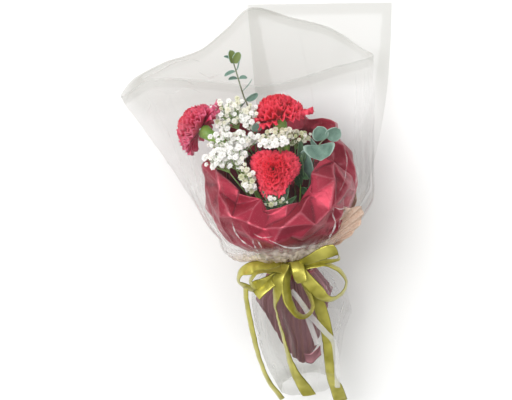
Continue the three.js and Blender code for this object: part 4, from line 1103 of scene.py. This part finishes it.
# strays: angle and how much longer; corners: how far the outline has three corners
carnations = [
    {"name": "carnation_top", "centre": (9, 161.5, -12), "way": (-0.13, 0.93, -0.3),
     "radius": 31, "tall": 1.15, "droop": 9, "strays": [(2.95, 1.3), (3.3, 1.22), (2.6, 1.15)],
     "skin": redSkin, "slot": "red_petals", "seed": 3, "neck": (3, -5),
     "path": [(6, 60, -14), (10, 110, -18)], "corners": 0},
    {"name": "carnation_front", "centre": (-4, 118, 27), "way": (0, 0.55, 0.83), "radius": 26.5,
     "tall": 1, "droop": 0, "strays": [],
     "skin": redSkin, "slot": "red_petals", "seed": 5, "neck": (0, 5.5),
     "path": [(-1, 50, -1), (-2, 78, -8)], "corners": 0.12},
    {"name": "carnation_left", "centre": (-76, 164, -9), "way": (-0.73, 0.57, -0.38),
     "radius": 31, "tall": 1.05, "droop": 3, "strays": [(2.7, 1.15), (3.3, 1.12)],
     "skin": crimsonSkin, "slot": "crimson_petals", "seed": 8, "neck": (-9, -1),
     "path": [(-18, 60, -8), (-36, 105, -12), (-46, 128, -14)], "corners": 0},
]
stemEnd, neckLow, neckHigh = -86, -16, 10  # a stem runs straight through the neck


def stemPath(neck, way):
    x, d = neck
    return [at(x * 0.9, stemEnd, d * 0.9), at(x, neckLow, d), at(x, neckHigh, d)] + [
        at(*p) for p in way]


def petalMesh(index, draw, size, droop, stray=None):
    inner = 0 if stray else index / (bloom["petals"] - 1)
    tilt, root, climb, length, span = (
        mix(*bloom[key], inner) for key in ("tilt", "root", "climb", "length", "span"))
    teeth = bloom["teeth"]
    angle = math.radians(bloom["turnEach"] * index) + draw.uniform(-0.15, 0.15)
    tilt = math.radians(tilt + droop * (1 - inner)
                        + draw.uniform(-bloom["lean"], bloom["lean"]))
    if stray:  # a long petal that stands out at one side
        angle, grow = stray
        tilt = bloom["strayTilt"]
        length *= grow
    outward = Vector((math.cos(angle), math.sin(angle), 0))
    lateral = Vector((-math.sin(angle), math.cos(angle), 0))
    way = outward * math.cos(tilt) + Vector((0, 0, math.sin(tilt)))
    normal = way.cross(lateral)
    origin = outward * root + Vector((0, 0, climb))
    length *= draw.uniform(*bloom["reach"])
    half = min(bloom["widest"], (root + length) * math.tan(math.radians(span / 2)) * 1.1)
    phase = draw.uniform(0, turn)
    waves = draw.uniform(*bloom["waves"])
    curl = draw.uniform(*bloom["curl"])
    notch = [draw.uniform(-bloom["notch"], bloom["notch"]) for _ in range(2 * teeth + 1)]

    def place(s, t):
        side = 2 * s - 1
        column = round(s * 2 * teeth)
        tooth = (1 if column % 2 else -1) * bloom["tooth"] + notch[column]
        reach = length * t * (1 - 0.14 * side * side * t) + smooth(0.7, 1, t) * tooth
        width = mix(2, half, t ** 0.7)
        wave = bloom["ruffle"] * t ** 1.6 * math.sin(waves * math.pi * side + phase)
        wave += 0.7 * smooth(0.6, 1, t) * (1 if column % 2 else -1)
        bend = -curl * length * t * t * 0.5
        point = origin + way * reach + lateral * width * side + normal * (wave + bend)
        return point * size * mm, t, inner

    return gridMesh(2 * teeth, 5, place, marks=("reach", "inner"))


def makeCarnation(flower):
    draw = random.Random(flower["seed"])
    size = flower["radius"] / bloom["radius"]
    way = direction(*flower["way"])
    centre = at(*flower["centre"])
    matrix = frameAt(centre, way, direction(0, 1, -0.1) if flower["corners"] else sightWay)
    whole = startMesh()
    for index in range(bloom["petals"]):
        addPart(whole, petalMesh(index, draw, size, flower["droop"]))
    for stray in flower["strays"]:
        addPart(whole, petalMesh(0, draw, size, flower["droop"], stray))
    for vertex in whole.verts:  # some heads are longer towards three corners
        x, y, z = vertex.co
        around = math.atan2(y, x)
        tip = ((around + 1.75 + math.pi) % turn - math.pi) / 0.5
        stretch = 1 + flower["corners"] * (math.sin(3 * around + 0.5)
                                           + 1.7 * math.exp(-tip * tip))
        vertex.co = matrix @ Vector((x * stretch, y * stretch, z * flower["tall"]))
    name = pieceName(flower["name"])
    makePiece(name, whole, flower["skin"], [flower["name"]], bloom["wall"])
    foot = centre + way * bloom["calyx"][0][0] * size * mm
    before = foot + way * -9 * mm
    run, radii = branch(stemPath(flower["neck"], flower["path"]) + [before], 28,
                        bloom["stem"], bloom["stem"])
    points = run + [centre + way * z * size * mm for z, _ in bloom["calyx"]]
    radii += [r * size for _, r in bloom["calyx"]]
    makePiece(name + "Stem", tubeMesh([(points, radii)], 12), stemSkin,
              [flower["name"] + "_stem"])


for flower in carnations:
    makeCarnation(flower)
print("carnations made")

# eucalyptus and dark greens
# leaves: foot, growth, face, (length, width), and 1 for a young one
leafySprigs = [
    {"name": "eucalyptus_top", "round": True, "neck": (-4, -12), "radius": 1.5,
     "path": [(-9, 60, -20), (-15, 120, -22)],
     "tip": [(-20.9, 168, -14), (-25.4, 187, -10), (-29.3, 212, -7), (-31.6, 226, -5)],
     "leaves": [
         ((-23.5, 180, -11), (0.82, 0.45, 0.3), (-0.1, -0.3, 0.95), (16, 8)),
         ((-23.5, 180, -11), (-0.8, -0.45, 0.3), (0.3, -0.75, 0.5), (15, 7)),
         ((-24.7, 191, -10), (0.75, 0.65, 0), (0.6, -0.7, 0.25), (17, 5)),
         ((-27.6, 205, -8), (1, 0, 0.1), (0, 0.97, 0.22), (9, 8)),
         ((-27.6, 205, -8), (-1, 0.1, 0.1), (0, 0.98, 0.18), (10, 8)),
         ((-29.3, 213, -7), (-0.98, -0.2, 0.1), (-0.1, 0.97, 0.2), (13, 8)),
         ((-29.3, 213, -7), (0.42, 0.9, 0.1), (0.9, -0.42, 0.1), (14, 7)),
         ((-30.7, 220, -5), (-0.1, 0.98, 0.15), (0.5, -0.1, 0.86), (16, 10), 1),
         ((-30.7, 220, -5), (0.5, 0.85, 0.1), (-0.3, -0.1, 0.95), (14, 9), 1),
         ((-31.6, 226, -5), (-0.9, 0.5, 0.1), (0.6, 0.7, 0.3), (9, 5))]},
    {"name": "eucalyptus_right", "round": True, "neck": (13, 2), "radius": 1.5,
     "path": [(24, 60, 5), (34, 96, 10)],
     "tip": [(42, 112, 15), (50, 124, 18), (60, 130, 20)],
     "leaves": [
         ((49, 122, 18), (-0.06, -0.62, 0.78), (-0.05, 0.78, 0.62), (19, 34)),
         ((31, 88, 9), (-0.12, 0.95, 0.15), (-0.35, 0.1, 0.92), (35, 16)),
         ((53, 125, 18), (-0.15, 0.95, 0.25), (0.1, -0.25, 0.95), (18, 18)),
         ((56, 128, 20), (0.85, 0.45, 0.25), (-0.2, -0.2, 0.96), (18, 17)),
         ((50, 118, 17), (-0.5, 0.6, -0.5), (-0.7, -0.4, 0.6), (12, 11))]},
    {"name": "eucalyptus_middle", "round": True, "neck": (-2, -8), "radius": 1.4,
     "path": [(-6, 60, -8), (-12, 105, -6)],
     "tip": [(-15, 128, -3), (-17, 146, 0)],
     "leaves": [
         ((-16, 134, -1), (-0.7, 0.6, 0.4), (0.2, -0.4, 0.9), (17, 14)),
         ((-16, 134, -1), (0.8, 0.5, 0.3), (-0.2, -0.3, 0.9), (16, 13)),
         ((-17, 145, 0), (0.1, 0.95, 0.3), (0, -0.3, 0.95), (11, 11))]},
    {"name": "greens_right", "round": False, "neck": (8, 11), "radius": 1.3,
     "path": [(14, 50, 14), (20, 76, 14)],
     "tip": [(23, 84, 15), (26, 98, 15), (27, 106, 14)],
     "leaves": [
         ((21.5, 78, 15), (0.9, -0.1, 0.5), (-0.4, -0.2, 0.9), (30, 10)),
         ((21.5, 78, 15), (0.3, 0.1, 0.97), (-0.95, 0.3, 0.1), (26, 9)),
         ((25, 95, 15), (0.3, -0.1, 0.95), (-0.9, 0.4, 0.2), (17, 8)),
         ((23, 84, 15), (-0.5, 0.8, 0.3), (0.3, -0.2, 0.92), (28, 9)),
         ((21.5, 78, 15), (-0.2, 0.95, 0.2), (0.6, -0.1, 0.8), (32, 9)),
         ((22, 80, 15), (0.1, 0.97, 0.2), (-0.6, -0.1, 0.8), (38, 10)),
         ((26, 98, 15), (0.1, 0.98, -0.1), (0.2, 0, 0.97), (34, 10)),
         ((27, 105, 14), (0.35, 0.9, 0), (-0.5, -0.2, 0.8), (14, 7))]},
    {"name": "greens_front", "round": False, "neck": (1, 14), "radius": 1.3,
     "path": [(0, 40, 26), (-2, 62, 36)],
     "tip": [(-4, 56, 41), (-5, 62, 44)],
     "leaves": [
         ((-3, 52, 39), (0.9, 0.4, 0.3), (-0.2, -0.2, 0.95), (27, 9)),
         ((-3, 52, 39), (-0.9, 0.45, 0.2), (0.2, -0.3, 0.95), (27, 9)),
         ((-4, 59, 43), (0.85, 0.5, 0.1), (-0.1, -0.2, 0.97), (24, 8)),
         ((-4, 59, 43), (-0.8, 0.55, 0.1), (0.1, -0.2, 0.97), (24, 8)),
         ((-5, 62, 44), (-0.1, 0.97, 0), (0, 0, 1), (20, 8)),
         ((-3, 48, 36), (-0.95, 0.15, 0.2), (0.1, -0.5, 0.85), (28, 10)),
         ((-3, 48, 36), (0.97, 0.1, 0.2), (-0.1, -0.5, 0.85), (28, 10)),
         ((-4, 60, 43), (-0.55, 0.82, -0.1), (0.3, 0, 0.95), (26, 9)),
         ((-4, 60, 43), (0.5, 0.85, -0.1), (-0.3, 0, 0.95), (28, 9))]},
]
leafWall = 0.45


def leafMesh(origin, way, face, length, width, isRound, young):
    growth = direction(*way)
    normal = direction(*face)
    normal = (normal - normal.dot(growth) * growth).normalized()
    side = growth.cross(normal)

    def place(s, t):
        across = 2 * s - 1
        if isRound:
            half = math.sqrt(max(0, 1 - (2 * t - 1) ** 2)) * 0.98 + 0.02
        else:
            half = math.sin(math.pi * min(1, t * 0.97 + 0.03)) ** 0.8 * (1 - 0.25 * t)
        reach = across * half
        deep = 0.34 if width > 30 else 0.12  # a broad leaf is more cupped
        cup = deep * width * reach * reach + 0.05 * width * abs(reach)
        bend = -0.08 * length * t * t
        point = (origin + growth * length * t * mm + side * 0.5 * width * reach * mm
                 + normal * (cup + bend) * mm)
        return point, max(abs(across), abs(2 * t - 1) ** 3), young

    return gridMesh(8, 10, place, marks=("reach", "young"))


def nearestOn(run, target):
    best = None
    for a, b in zip(run, run[1:]):
        t = min(1, max(0, (target - a).dot(b - a) / max((b - a).length_squared, 1e-12)))
        point = a.lerp(b, t)
        if best is None or (point - target).length < (best - target).length:
            best = point
    return best


def makeSprig(sprig):
    isRound = sprig["round"]
    skin, twig, slot = (eucalyptusSkin, woodySkin, "eucalyptus_leaves") if isRound else (
        darkLeafSkin, stemSkin, "dark_leaves")
    points = stemPath(sprig["neck"], sprig["path"]) + [seen(*p) for p in sprig["tip"]]
    run, radii = branch(points, 40, sprig["radius"], 0.6)
    whole = startMesh()
    runs = [(run, radii)]
    for base, way, face, (length, width), *young in sprig["leaves"]:
        foot = nearestOn(run, seen(*base))
        addPart(whole, leafMesh(foot + direction(*way) * 0.8 * mm, way, face, length, width,
                                isRound, 1.0 if young else 0.0))
        runs.append(([foot, foot + direction(*way) * 1.6 * mm], [0.5, 0.4]))
    bmesh.ops.remove_doubles(whole, verts=whole.verts, dist=1e-6)
    name = pieceName(sprig["name"])
    makePiece(name + "Leaves", whole, skin, [sprig["name"]], leafWall)
    makePiece(name + "Stem", tubeMesh(runs, 8), twig)


for sprig in leafySprigs:
    makeSprig(sprig)
print("greens made")

# baby's breath
# clusters: middle, reach, flowers, size and youngest age
sprays = [
    {"name": "gypsophila_top", "neck": (-9, -8), "path": [(-14, 60, -17), (-20, 115, -19)],
     "seed": 21, "clusters": [((-44, 171, -6), (21, 16, 10), 54, 0.95, 0.1),
                              ((-20, 163, -4), (12, 13, 9), 30, 1, 0.15),
                              ((-53, 154, -2), (8, 7, 6), 12, 0.95, 0.2)]},
    {"name": "gypsophila_left", "neck": (-15, -3), "path": [(-26, 60, 0), (-35, 92, 4)],
     "seed": 22, "clusters": [((-56, 139, 12), (17, 11, 10), 32, 1.08, 0.3),
                              ((-31, 139, 10), (15, 10, 8), 32, 1.05, 0.3)]},
    {"name": "gypsophila_left_front", "neck": (-14, 5), "path": [(-22, 55, 11), (-32, 84, 15)],
     "seed": 23, "clusters": [((-62, 123, 22), (16, 10, 9), 34, 1.15, 0.35),
                              ((-44, 122, 24), (13, 12, 9), 32, 1.15, 0.35)]},
    {"name": "gypsophila_middle", "neck": (8, -3), "path": [(14, 60, -4), (19, 100, -6)],
     "seed": 24, "clusters": [((24, 134, 4), (17, 7, 8), 30, 0.9, -0.1),
                              ((2, 139, 11), (20, 7, 9), 34, 0.95, -0.05),
                              ((-1, 131, 38), (19, 4, 4), 13, 1.2, 0.5)]},
    {"name": "gypsophila_front", "neck": (-8, 12), "path": [(-13, 48, 20), (-20, 68, 26)],
     "seed": 25, "clusters": [((-33, 96, 33), (8, 17, 8), 24, 1, 0.05),
                              ((-12, 68, 46), (20, 5, 5), 13, 0.85, 0)]},
]
floret = {
    "radius": 3.3, "twig": 0.35, "apart": 1.35, "clear": 2,
    "rings": ((6, 8, 1), (5, 40, 0.9), (4, 68, 0.75)),  # petals, tilt in degrees, length
}


def floretTemplate():  # a small double flower, its petals in three rings
    whole = bmesh.new()
    draw = random.Random(2)
    for count, tilt, length in floret["rings"]:
        for k in range(count):
            angle = turn * (k + draw.uniform(-0.15, 0.15)) / count + tilt
            lean = math.radians(tilt)
            out = Vector((math.cos(angle), math.sin(angle), 0))
            side = Vector((-math.sin(angle), math.cos(angle), 0))
            way = out * math.cos(lean) + Vector((0, 0, math.sin(lean)))
            normal = way.cross(side)

            def place(s, t, way=way, side=side, normal=normal, length=length, lean=lean):
                width = 0.16 + 0.34 * t
                notch = -0.1 * t if 0.3 < s < 0.7 else 0
                return (way * (length * t + notch) + side * width * (2 * s - 1)
                        + normal * 0.18 * (t * t - abs(2 * s - 1) * t))

            addPart(whole, gridMesh(2, 1, place))
    mesh = bpy.data.meshes.new("floret")
    whole.to_mesh(mesh)
    whole.free()
    return mesh


keepOut = [(at(*f["centre"]) + direction(*f["way"]) * bloom["middle"] * mm,
            f["radius"] * bloom["solid"] * mm) for f in carnations]


def makeSpray(spray, template):
    draw = random.Random(spray["seed"])
    start = stemPath(spray["neck"], spray["path"])
    fork = start[-1]
    runs = [branch(start, 16, 1.3, 1.0)]
    whole = bmesh.new()
    ages = []
    for (x, v, d), spread, count, large, young in spray["clusters"]:
        hub = seen(x, v, d).lerp(fork, 0.35)
        elbow = fork.lerp(hub, 0.5) + offWay * 2 * mm
        runs.append(branch([fork, elbow, hub], 6, 0.9, 0.6))
        placed = []
        tries = 0
        while len(placed) < count and tries < count * 60:
            tries += 1
            offset = [draw.uniform(-1, 1) for _ in range(3)]
            if sum(o * o for o in offset) > 1:
                continue
            centre = seen(x + offset[0] * spread[0], v + offset[1] * spread[1],
                          d + offset[2] * spread[2])
            if any((centre - o).length < floret["apart"] * floret["radius"] * mm for o in placed):
                continue
            if any((centre - o).length < r + floret["clear"] * mm for o, r in keepOut):
                continue
            placed.append(centre)
        for index, centre in enumerate(placed):
            if index % 5 == 0:
                near = hub.lerp(centre, draw.uniform(0.4, 0.6))
                runs.append(branch([hub, near], 3, 0.5, 0.5))
            size = floret["radius"] * large * draw.uniform(0.6, 1.15)
            way = (centre - hub).normalized() + direction(0, 0.2, 0.7)
            matrix = frameAt(centre, way, direction(0.3, 1, 0.2)) @ Matrix.Rotation(
                draw.uniform(0, turn), 4, "Z") @ Matrix.Scale(size * mm, 4)
            mesh = template.copy()
            mesh.transform(matrix)
            whole.from_mesh(mesh)
            ages.extend([draw.uniform(young, young + 0.5)] * len(mesh.vertices))
            bpy.data.meshes.remove(mesh)
            runs.append(branch([near, near.lerp(centre, 0.6) + offWay * mm, centre], 4,
                               floret["twig"], floret["twig"]))
    name = pieceName(spray["name"])
    piece = makePiece(name + "Florets", whole, whiteSkin, [spray["name"]])
    setPointValues(piece, "age", ages)
    makePiece(name + "Branches", tubeMesh(runs, 4), twigSkin)


floretMesh = floretTemplate()
for spray in sprays:
    makeSpray(spray, floretMesh)
bpy.data.meshes.remove(floretMesh)
print("baby's breath made")

# binding
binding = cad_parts["stem_binding"]
binding.data.materials.clear()
binding.data.materials.append(bandSkin)
